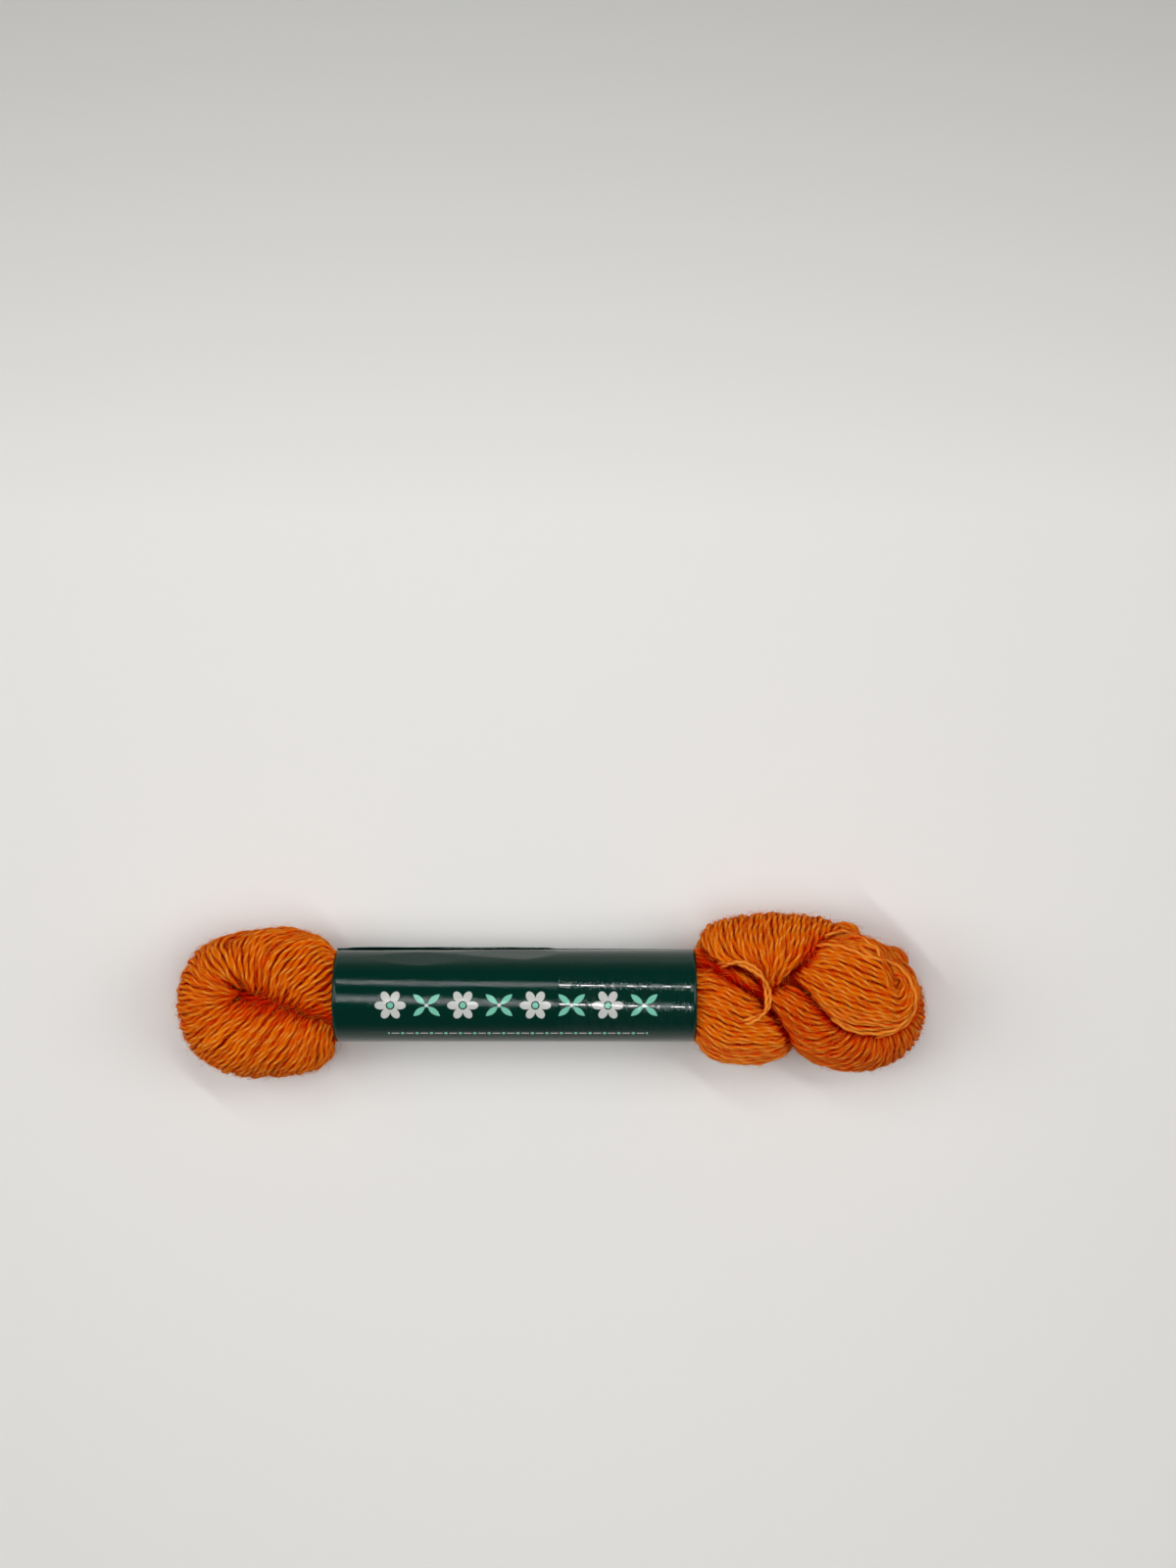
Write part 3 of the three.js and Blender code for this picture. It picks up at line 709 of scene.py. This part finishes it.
class Graph:
    """Short calls for adding nodes to a material."""

    def __init__(self, material):
        self.tree = material.node_tree

    def plug(self, value, socket):
        if isinstance(value, (int, float, tuple)):
            socket.default_value = value
        else:
            self.tree.links.new(value, socket)

    def math(self, operation, a, b=0.0, c=0.0, clamp=False):
        node = self.tree.nodes.new("ShaderNodeMath")
        node.operation = operation
        node.use_clamp = clamp
        for value, socket in zip((a, b, c), node.inputs):
            self.plug(value, socket)
        return node.outputs[0]

    def add(self, a, b, clamp=False):
        return self.math("ADD", a, b, clamp=clamp)

    def minus(self, a, b):
        return self.math("SUBTRACT", a, b)

    def times(self, a, b):
        return self.math("MULTIPLY", a, b)

    def size(self, a):
        return self.math("ABSOLUTE", a)

    def mix(self, share, a, b):
        node = self.tree.nodes.new("ShaderNodeMix")
        node.data_type = "RGBA"
        self.plug(share, node.inputs["Factor"])
        self.plug(a, node.inputs[6])
        self.plug(b, node.inputs[7])
        return node.outputs[2]

    def attribute(self, name):
        node = self.tree.nodes.new("ShaderNodeAttribute")
        node.attribute_name = name
        return node.outputs["Fac"]

    def uv(self, name):
        node = self.tree.nodes.new("ShaderNodeUVMap")
        node.uv_map = name
        parts = self.tree.nodes.new("ShaderNodeSeparateXYZ")
        self.tree.links.new(node.outputs[0], parts.inputs[0])
        return parts.outputs[0], parts.outputs[1]

    def object_place(self):
        return self.tree.nodes.new("ShaderNodeTexCoord").outputs["Object"]

    def vector(self, x, y, z):
        node = self.tree.nodes.new("ShaderNodeCombineXYZ")
        for value, socket in zip((x, y, z), node.inputs):
            self.plug(value, socket)
        return node.outputs[0]

    def noise(self, place, scale, detail=2.0, roughness=0.5):
        node = self.tree.nodes.new("ShaderNodeTexNoise")
        self.plug(place, node.inputs["Vector"])
        node.inputs["Scale"].default_value = scale
        node.inputs["Detail"].default_value = detail
        node.inputs["Roughness"].default_value = roughness
        return node.outputs["Fac"]

    def map(self, value, low, high, to_low=0.0, to_high=1.0):
        node = self.tree.nodes.new("ShaderNodeMapRange")
        self.plug(value, node.inputs["Value"])
        for key, number in (("From Min", low), ("From Max", high), ("To Min", to_low), ("To Max", to_high)):
            node.inputs[key].default_value = number
        return node.outputs["Result"]

    def bump(self, height, strength, distance):
        node = self.tree.nodes.new("ShaderNodeBump")
        node.inputs["Strength"].default_value = strength
        node.inputs["Distance"].default_value = distance
        self.plug(height, node.inputs["Height"])
        return node.outputs["Normal"]


def wool_material():
    """Matt two-ply wool, with a painted highlight along the crown of each ply, painted paler sides, and
    painted shade, darker and redder, on the flanks, in creases and deep in the hank.
    """
    dim_orange, light_orange = (0.69, 0.134, 0.0006, 1), (0.81, 0.200, 0.003, 1)
    patch_orange, painted_shade_brown = (0.65, 0.110, 0.0005, 1), (0.30, 0.030, 0.0002, 1)
    painted_highlight_gold, pale_and_lit_gold = (0.87, 0.355, 0.055, 1), (0.87, 0.34, 0.05, 1)
    flank_shade_red, crease_shade_red = (0.66, 0.032, 0.0003, 1), (0.50, 0.003, 0.0001, 1)
    material, surface = shader("orange_merino")
    g = Graph(material)
    u, v = g.uv("twist")
    ply = g.math("COSINE", g.times(g.minus(u, v), 4 * math.pi))
    ridge = g.map(ply, -1.0, 0.6)
    fibres = g.noise(g.vector(g.times(g.minus(u, v), 9.0), g.times(v, 3.0), 0.0), 1.6, 3.0, 0.6)
    patch = g.noise(g.object_place(), 260.0, 2.0)
    tone = g.attribute("tone")
    deep = g.attribute("deep")
    bright = g.mix(tone, dim_orange, light_orange)
    bright = g.mix(g.map(patch, 0.35, 0.65, 0.0, 0.6), bright, patch_orange)
    # Painted shade: a tone under nought, as in the end bundle, darkens the yarn towards brown.
    bright = g.mix(g.map(tone, -1.0, 0.0, 0.40, 0.0), bright, painted_shade_brown)
    # Painted highlight: a gold streak along the crown of each ply, left out where the yarn carries painted
    # shade.
    crown = g.times(g.map(ply, 0.1, 0.95), g.map(fibres, 0.40, 0.60))
    crown = g.times(crown, g.map(deep, 0.05, 0.30, 0.85, 0.0))
    bright = g.mix(crown, bright, painted_highlight_gold)
    # The pale attribute paints light on the -Y sides of some bundles and makes the loose thread and strays
    # paler.
    bright = g.mix(g.attribute("pale"), bright, pale_and_lit_gold)
    # Painted shade, darker and redder, on the flanks, in the waists between plies, in creases and deep in
    # the hank.
    flank = g.add(deep, g.times(g.minus(1.0, ridge), 0.12))
    colour = g.mix(g.map(flank, 0.12, 0.42), bright, flank_shade_red)
    colour = g.mix(g.map(flank, 0.36, 0.80), colour, crease_shade_red)
    g.plug(colour, surface.inputs["Base Color"])
    surface.inputs["Roughness"].default_value = 0.6
    surface.inputs["Specular IOR Level"].default_value = 0.01
    height = g.add(g.times(ridge, 0.75), g.times(fibres, 0.25))
    g.plug(g.bump(height, 0.8, 0.00012), surface.inputs["Normal"])
    return material


def core_material():
    """The yarn packed inside, painted dark red as shade, since it shows only between the strands."""
    painted_shade_red, painted_shade_light_red = (0.34, 0.010, 0.0002, 1), (0.44, 0.020, 0.0003, 1)
    material, surface = shader("packed_merino")
    g = Graph(material)
    grain = g.noise(g.object_place(), 900.0, 3.0)
    g.plug(g.mix(grain, painted_shade_red, painted_shade_light_red), surface.inputs["Base Color"])
    surface.inputs["Roughness"].default_value = 1.0
    surface.inputs["Specular IOR Level"].default_value = 0.05
    return material


def fuzz_material():
    """Stray fibres, painted paler than the yarn to stand in for the light that passes through them."""
    orange, pale_orange = (0.66, 0.14, 0.002, 1), (0.84, 0.32, 0.03, 1)
    material, surface = shader("merino_fibres")
    g = Graph(material)
    g.plug(g.mix(g.attribute("tone"), orange, pale_orange), surface.inputs["Base Color"])
    surface.inputs["Roughness"].default_value = 0.7
    surface.inputs["Specular IOR Level"].default_value = 0.1
    return material


def inside(g, edge, value, soft):
    """One where a value is under an edge, nought where it is over it, with a soft border."""
    return g.math("MULTIPLY_ADD", g.minus(edge, value), 1 / soft, 0.5, clamp=True)


def length_of(g, x, y):
    """The distance of a place from the middle of its motif."""
    return g.math("SQRT", g.add(g.times(x, x), g.times(y, y)))


def flower_band(g, u, v):
    """A row of six-petalled flowers with four-leaved sprigs between: its off-white and mint parts."""
    cell = g.math("DIVIDE", g.minus(u, FLOWERS_FROM), FLOWER_PITCH)
    shown = g.times(g.math("GREATER_THAN", cell, 0.0), g.math("LESS_THAN", cell, FLOWERS))
    sprig = g.math("FLOORED_MODULO", g.math("FLOOR", cell), 2.0)
    x = g.times(g.minus(g.math("FRACT", cell), 0.5), FLOWER_PITCH)
    y = g.minus(v, FLOWERS_AT)
    reach = length_of(g, x, y)
    lobes = g.size(g.math("COSINE", g.times(g.math("ARCTAN2", y, x), 3.0)))
    petal_edge = g.math("MULTIPLY_ADD", g.math("POWER", lobes, 0.8), 1.25, 0.95)
    outside_heart = inside(g, -0.62, g.times(reach, -1), 0.08)
    petals = g.times(inside(g, petal_edge, reach, 0.08), outside_heart)
    heart = inside(g, 0.42, reach, 0.08)
    across, down = g.size(x), g.size(y)
    along = g.add(g.times(across, LEAF_ACROSS), g.math("MULTIPLY_ADD", down, LEAF_DOWN, -1.35))
    beside = g.size(g.minus(g.times(down, LEAF_ACROSS), g.times(across, LEAF_DOWN)))
    bow = g.math("POWER", g.math("DIVIDE", g.size(along), 1.1), 2.0)
    leaves = inside(g, g.math("MULTIPLY_ADD", bow, -0.42, 0.42), beside, 0.06)
    bud = inside(g, 0.28, reach, 0.08)
    flower = g.minus(1.0, sprig)
    pale = g.add(g.times(flower, petals), g.times(sprig, bud))
    mint = g.add(g.times(flower, heart), g.times(sprig, leaves))
    return g.times(shown, pale), g.times(shown, mint)


def dash_band(g, u, v):
    """A fine row of dashes with dots between: its off-white and mint parts."""
    cell = g.math("DIVIDE", g.minus(u, DASHES_FROM), DASH_PITCH)
    shown = g.times(g.math("GREATER_THAN", cell, 0.0), g.math("LESS_THAN", cell, DASHES))
    x = g.size(g.times(g.minus(g.math("FRACT", cell), 0.5), DASH_PITCH))
    y = g.size(g.minus(v, DASHES_AT))
    dash = g.times(inside(g, 0.55, x, 0.06), inside(g, 0.10, y, 0.05))
    dot = inside(g, 0.26, length_of(g, g.minus(x, 0.5 * DASH_PITCH), y), 0.06)
    return g.times(shown, dash), g.times(shown, dot)


def paper_material():
    """Dark green coated paper with a printed ornament, and a smooth clear tape over its right half."""
    green_dark, green_light = (0.0002, 0.021, 0.0135, 1), (0.0005, 0.028, 0.018, 1)
    off_white, mint_ink = (0.56, 0.57, 0.54, 1), (0.19, 0.55, 0.41, 1)
    material, surface = shader("dark_green_coated_paper")
    g = Graph(material)
    u, v = g.uv("strip")
    place = g.object_place()
    mottle = g.noise(place, 120.0, 3.0)
    green = g.mix(mottle, green_dark, green_light)
    pale, mint = flower_band(g, u, v)
    pale_dash, mint_dot = dash_band(g, u, v)
    ink = g.mix(g.add(pale, pale_dash, clamp=True), green, off_white)
    ink = g.mix(g.add(mint, mint_dot, clamp=True), ink, mint_ink)
    g.plug(ink, surface.inputs["Base Color"])
    left, right, soft = TAPE_FROM - SLEEVE_FROM, TAPE_TO - SLEEVE_FROM, 0.06
    taped = g.times(g.map(u, left - soft, left + soft), g.map(u, right - soft, right + soft, 1.0, 0.0))
    surface.inputs["Roughness"].default_value = 0.06
    surface.inputs["Specular IOR Level"].default_value = 0.27
    streak = g.noise(g.vector(g.times(u, 1.3), g.times(v, 0.5), 3.7), 1.0, 3.0, 0.6)
    crest = g.times(g.map(v, 10.0, 12.0), g.map(v, 17.5, 19.5, 1.0, 0.0))
    flat_tape = g.times(taped, g.map(streak, 0.47, 0.52, 1.0, 0.12))
    g.plug(g.times(crest, flat_tape), surface.inputs["Coat Weight"])
    surface.inputs["Coat Roughness"].default_value = 0.02
    surface.inputs["Coat IOR"].default_value = 1.5
    grain = g.noise(place, 3600.0, 3.0, 0.6)
    ripple = g.noise(g.vector(g.times(u, 0.8), g.times(v, 0.5), 0.0), 1.0, 2.0)
    height = g.add(g.times(grain, 0.8), g.times(ripple, 0.9))
    height = g.add(height, g.times(taped, 0.5))
    g.plug(g.bump(height, 0.5, 0.00005), surface.inputs["Normal"])
    return material


def bare_paper_material():
    """The uncoated inner side and cut edge of the strip."""
    material, surface = shader("uncoated_paper")
    g = Graph(material)
    grain = g.noise(g.object_place(), 5000.0, 3.0)
    g.plug(g.mix(grain, (0.50, 0.49, 0.45, 1), (0.66, 0.65, 0.60, 1)), surface.inputs["Base Color"])
    surface.inputs["Roughness"].default_value = 0.9
    return material


# The label sleeve

def strip_end(x):
    """The angle of the strip's free edge, which is straight but runs a little askew."""
    return STRIP_START + STRIP_TURN - EDGE_SKEW * (x - SLEEVE_FROM)


def strip_radius(x, degrees):
    """The radius of the strip's middle at a place along it and an angle, counted on past the full turn."""
    radius = SLEEVE_RADIUS - PAPER
    wound_on = degrees - STRIP_START
    radius += (PAPER + 0.03) * min(1.0, max(0.0, (wound_on - OVERLAP_FROM) / OVERLAP_RISE))
    seen_angle = degrees - 360 if degrees > 200 else degrees
    facet = FACET_DEPTH * max(0.0, min((x + 13.4) / 9.9, (1.2 - x) / 4.7))
    dent = DENT_DEPTH * math.exp(-((x + 18.6) / 4.5) ** 2)
    for depth, middle in ((facet, FACET_AT), (dent, DENT_AT)):
        across = math.radians(seen_angle - middle)
        if depth > 0 and abs(across) < 1.0 and wound_on < OVERLAP_FROM:
            radius = min(radius, (SLEEVE_RADIUS - PAPER - depth) / math.cos(across))
    to_edge = strip_end(x) - degrees
    if to_edge < LIFTED_ANGLE and LIFTED_FROM < x < LIFTED_TO:
        share = (x - LIFTED_FROM) / (LIFTED_TO - LIFTED_FROM)
        fade = min(1.0, (x - LIFTED_FROM) / 1.2, (LIFTED_TO - x) / 1.5)
        lift = (0.13 + 0.03 * share + 0.02 * math.sin(0.7 * x)) * fade
        radius += lift * (1 - to_edge / LIFTED_ANGLE) ** 2
    return radius


def make_sleeve(printed, bare):
    """The label sleeve: a flat strip rolled up with its ends overlapping, then given its thickness."""
    bpy.ops.object.select_all(action="DESELECT")
    around, along = 200, 86
    bpy.ops.mesh.primitive_grid_add(x_subdivisions=along, y_subdivisions=around, size=1)
    sheet = bpy.context.object
    sheet.name = "sleeve_paper"
    flat = np.array([vertex.co[:2] for vertex in sheet.data.vertices]) + 0.5
    x = SLEEVE_FROM + flat[:, 0] * (SLEEVE_TO - SLEEVE_FROM)
    end = np.array([strip_end(place) for place in x])
    degrees = STRIP_START + (end - STRIP_START) * flat[:, 1]
    for vertex, across, angle in zip(sheet.data.vertices, x, degrees):
        radius = strip_radius(across, angle)
        turned = math.radians(angle)
        height = SLEEVE_HEIGHT + radius * math.sin(turned)
        vertex.co = (across * MM, radius * math.cos(turned) * MM, height * MM)
    layer = sheet.data.uv_layers[0]
    layer.name = "strip"
    round_mm = np.radians(degrees - STRIP_START) * (SLEEVE_RADIUS - 0.5 * PAPER)
    for loop in sheet.data.loops:
        n = loop.vertex_index
        layer.data[loop.index].uv = (x[n] - SLEEVE_FROM, round_mm[n])
    for material in (printed, bare, bare):
        sheet.data.materials.append(material)
    bpy.ops.object.mode_set(mode="EDIT")
    bpy.ops.mesh.select_all(action="SELECT")
    bpy.ops.mesh.flip_normals()
    bpy.ops.object.mode_set(mode="OBJECT")
    thick = sheet.modifiers.new("thickness", "SOLIDIFY")
    thick.thickness = PAPER * MM
    thick.offset = 0
    thick.material_offset = 1
    thick.material_offset_rim = 2
    bpy.ops.object.modifier_apply(modifier="thickness")
    layer = sheet.data.uv_layers[0]
    under_flap = math.radians(UNDER_FLAP) * SLEEVE_RADIUS
    for face in sheet.data.polygons:
        rim = face.material_index == 2
        face.use_smooth = not rim
        # Painted shade: the cut edges along the strip and the inner side under the flap take the dark
        # printed paper.
        lengthwise = rim and SLEEVE_FROM + 0.1 < face.center.x / MM < SLEEVE_TO - 0.1
        inner = face.material_index == 1
        if lengthwise or (inner and layer.data[face.loop_start].uv[1] > under_flap):
            face.material_index = 0
    declare(sheet, "label_sleeve")


# Floor, light and camera

def make_studio():
    """A pale floor, painted darker towards +Y as painted shade, a soft room, two softboxes and the two
    narrow tubes that show in the paper.
    """
    near_floor, far_floor_painted_shade = (0.82, 0.802, 0.778, 1), (0.525, 0.52, 0.502, 1)
    bpy.ops.object.select_all(action="DESELECT")
    bpy.ops.mesh.primitive_plane_add(size=16.0)
    floor = bpy.context.object
    floor.name = "floor"
    material, surface = shader("pale_paper_ground")
    g = Graph(material)
    back = g.tree.nodes.new("ShaderNodeSeparateXYZ")
    g.plug(g.object_place(), back.inputs[0])
    # Painted shade: the floor darkens towards +Y, standing in for the light falling off.
    fade = g.map(back.outputs["Y"], 0.070, 0.150)
    g.plug(g.mix(fade, near_floor, far_floor_painted_shade), surface.inputs["Base Color"])
    surface.inputs["Roughness"].default_value = 0.9
    floor.data.materials.append(material)
    bpy.context.scene.view_settings.view_transform = "Standard"
    world = bpy.data.worlds.new("soft_room")
    bpy.context.scene.world = world
    world.use_nodes = True
    sky = world.node_tree
    background = sky.nodes["Background"]
    background.inputs["Color"].default_value = (0.96, 0.98, 1.0, 1)
    height = sky.nodes.new("ShaderNodeSeparateXYZ")
    sky.links.new(sky.nodes.new("ShaderNodeTexCoord").outputs["Generated"], height.inputs[0])
    glow = sky.nodes.new("ShaderNodeMapRange")
    sky.links.new(height.outputs["Z"], glow.inputs["Value"])
    for key, number in (("From Min", 0.02), ("From Max", 0.35), ("To Min", 0.32), ("To Max", 0.055)):
        glow.inputs[key].default_value = number
    sky.links.new(glow.outputs["Result"], background.inputs["Strength"])
    lights = {
        "softbox_left": ((-1.00, 0.20, 0.84), (0.90, 0.90), 7.1, 0.0),
        "softbox_right": ((1.00, 0.17, 0.84), (0.90, 0.90), 6.5, 0.0),
        "tube_far": ((-0.015, 0.188, 0.30), (0.34, 0.004), 0.33, -39.0),
        "tube_near": ((-0.015, -0.067, 0.30), (0.34, 0.004), 0.30, -50.0),
    }
    for name, (place, size, power, turn) in lights.items():
        data = bpy.data.lights.new(name, "AREA")
        data.shape = "RECTANGLE"
        data.size, data.size_y = size
        data.energy = power
        lamp = bpy.data.objects.new(name, data)
        lamp.location = place
        if name.startswith("softbox"):
            aim = Vector((0, 0, 0.007)) - Vector(place)
            lamp.rotation_euler = aim.to_track_quat("-Z", "Y").to_euler()
        else:
            lamp.rotation_euler = (0, 0, math.radians(turn))
        bpy.context.scene.collection.objects.link(lamp)


def make_camera():
    """The camera, looking straight down."""
    data = bpy.data.cameras.new("camera")
    data.sensor_width = CAMERA_SENSOR
    data.lens = CAMERA_LENS
    camera = bpy.data.objects.new("camera", data)
    camera.location = CAMERA_PLACE
    bpy.context.scene.collection.objects.link(camera)
    bpy.context.scene.camera = camera


def lump_shape(lump):
    """Points and faces of an egg."""
    rings, sides = 16, 24
    tilt = math.pi * (np.arange(rings) + 0.5) / rings
    turn = 2 * math.pi * np.arange(sides) / sides
    size = np.array([lump.rx, lump.ry, lump.rz])
    middle = np.array([lump.x, lump.y, lump.z])
    unit = np.stack([np.outer(-np.cos(tilt), np.ones(sides)), np.outer(np.sin(tilt), np.cos(turn)),
                     np.outer(np.sin(tilt), np.sin(turn))], 2)
    return (middle + size * unit).reshape(-1, 3), tube_faces(rings, sides)


def make_core(bundles, material):
    """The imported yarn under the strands, as one mesh of closed tubes and eggs."""
    shapes = []
    for bundle in bundles.values():
        points, faces = bundle.outline(CORE_DEPTH, 70, 28)
        points[:, 2] = np.maximum(points[:, 2], CORE_REST)
        shapes.append((settle(points, CORE_CLEAR), faces))
    shapes += [lump_shape(lump) for lump in PACKED]
    all_points, all_faces, start = [], [], 0
    for points, faces in shapes:
        all_points.append(points)
        all_faces += [tuple(start + k for k in face) for face in faces]
        start += len(points)
    mesh = bpy.data.meshes.new("yarn_core")
    mesh.from_pydata((np.concatenate(all_points) * MM).tolist(), [], all_faces)
    mesh.update()
    mesh.polygons.foreach_set("use_smooth", np.ones(len(mesh.polygons), bool))
    yarn_piece("yarn_core", mesh, material)


def drop_onto(trees, places, height):
    """A line laid on the hank from above: its points at the places, at a height over what is under them."""
    places = np.array(places, float)
    knots = lengths_along(places)
    along = np.linspace(0, knots[-1], int(knots[-1] / STEP) + 1)
    flat = curve_through(places, np.gradient(places, knots, axis=0), knots, along)
    top = []
    for x, y in flat:
        hits = [tree.ray_cast(Vector((x, y, 40)), Vector((0, 0, -1)))[0] for tree in trees.values()]
        top.append(max([hit.z for hit in hits if hit is not None] + [0.0]))
    top = np.array(top) + height
    width = 7
    padded = np.concatenate([np.full(width, top[0]), top, np.full(width, top[-1])])
    window = np.hanning(2 * width + 1)
    smooth = np.convolve(padded, window / window.sum(), "same")[width:-width]
    return np.column_stack([flat, smooth])


def lay_thread(trees, places, height, dip):
    """A thread laid on the hank with its ends dipping into it, noughts along it and the way up."""
    line = drop_onto(trees, places, height)
    to_end = np.minimum(np.arange(len(line)), np.arange(len(line))[::-1]) * STEP
    line[:, 2] -= dip * np.clip(1 - to_end / THREAD_DIP_LENGTH, 0, 1) ** 2
    return line, np.zeros(len(line)), np.tile([0.0, 0.0, 1.0], (len(line), 1))


def wound(line, reach, pitch, start):
    """A line that winds round another line."""
    tangent = unit(np.gradient(line, axis=0))
    across = unit(np.cross(tangent, [0.0, 0.0, 1.0]))
    up = np.cross(across, tangent)
    angle = (2 * math.pi * lengths_along(line) / pitch + start)[:, None]
    return line + reach * (np.cos(angle) * across + np.sin(angle) * up)


def make_loose_thread(trees, material):
    """The thread that lies in a loop over the groove: its two plies have come a little apart."""
    line, flat, upward = lay_thread(trees, LOOSE, 0.55, 0.9)
    paths = []
    for start, tone in ((0.0, 1.0), (math.pi, 0.85)):
        paths.append((wound(line, 0.29, 11.0, start), start, tone, flat + 0.5, flat, upward))
    yarn_piece("loose_thread", strand_mesh("loose_thread", paths, 0.34, 8, 0.12, 2.6), material)


def make_strays(trees, material):
    """Single strands that have slipped out of their bundles and lie on top."""
    paths = []
    for number, (tone, places) in enumerate(STRAYS):
        line, flat, upward = lay_thread(trees, places, 0.12, 0.8)
        paths.append((line, 1.3 * number, tone, flat + 0.4, flat, upward))
    mesh = strand_mesh("stray_strands", paths, 0.45 * STRAND_WIDTH, 8, PEANUT, PLY_PITCH)
    yarn_piece("stray_strands", mesh, material)


def make_hairs(bundles, material, name, density, shortest, longest, lifted, radius, seed):
    """Fine hairs that stand off the yarn, each a thin tapered tube."""
    paths = []
    draw = np.random.default_rng(seed)
    for bundle in bundles.values():
        d_along = np.gradient(bundle.point, bundle.along, axis=0)
        d_turn = np.gradient(bundle.point, bundle.turn, axis=1)
        area = np.linalg.norm(np.cross(d_along, d_turn), axis=2)
        open_air = (bundle.beside > 0.3) & (bundle.point[..., 2] > 0.6)
        x = bundle.point[..., 0]
        open_air &= (x < SLEEVE_FROM - 0.3) | (x > SLEEVE_TO + 0.3)
        weight = (area * open_air).ravel()
        surface = weight.sum() * bundle.along[1] * bundle.turn[1]
        chosen = draw.choice(len(weight), int(surface * density), p=weight / weight.sum())
        points = bundle.point.reshape(-1, 3)[chosen]
        normals = bundle.normal.reshape(-1, 3)[chosen]
        run = d_along * bundle.go_along[..., None] + d_turn * bundle.go_turn[..., None]
        run = run.reshape(-1, 3)[chosen]
        run /= np.linalg.norm(run, axis=1, keepdims=True)
        for point, normal, lie in zip(points, normals, run):
            across = np.cross(normal, lie)
            way = lie * draw.choice([-1, 1]) + across * draw.normal(0, 0.55)
            way /= np.linalg.norm(way)
            long = draw.uniform(shortest, longest)
            lift = draw.uniform(0.1, lifted) * draw.uniform(0.2, 1.0)
            u = np.linspace(0, 1, 4)[:, None]
            bow = draw.normal(0, 0.25)
            arc = lift * np.sin(u * draw.uniform(1.4, 2.8)) * normal
            line = point - 0.30 * normal + long * (u * way + arc + bow * u * u * np.cross(normal, way))
            line[:, 2] = np.maximum(line[:, 2], 0.03)
            flat = np.zeros(len(line))
            paths.append((line, 0.0, draw.uniform(0, 1), flat, flat, np.tile(normal, (len(line), 1))))
    yarn_piece(name, strand_mesh(name, paths, radius, 3, 0.0, 1.0), material)


def main():
    """Builds everything in the scene."""
    make_camera()
    make_studio()
    wool = wool_material()
    bundles = make_bundles()
    trees = bundle_trees(bundles)
    find_neighbours(bundles, trees)
    top = lay_yarn(bundles, 0, STEP)
    under = lay_yarn(bundles, 1, UNDER_STEP)
    for name in bundles:
        mesh = strand_mesh(name + "_yarn", top[name], STRAND_RADIUS, RING, PEANUT, PLY_PITCH)
        yarn_piece(name + "_yarn", mesh, wool)
        mesh = strand_mesh(name + "_yarn_under", under[name], STRAND_RADIUS, UNDER_RING, 0.0, PLY_PITCH)
        yarn_piece(name + "_yarn_under", mesh, wool)
    make_core(bundles, core_material())
    make_loose_thread(trees, wool)
    make_strays(trees, wool)
    fibres = fuzz_material()
    make_hairs(bundles, fibres, "yarn_fuzz", HAIRS, 0.7, 2.2, 0.5, 0.022, 77)
    make_hairs(bundles, fibres, "yarn_nap", NAP, 0.5, 1.3, 0.7, 0.016, 78)
    make_sleeve(paper_material(), bare_paper_material())


main()
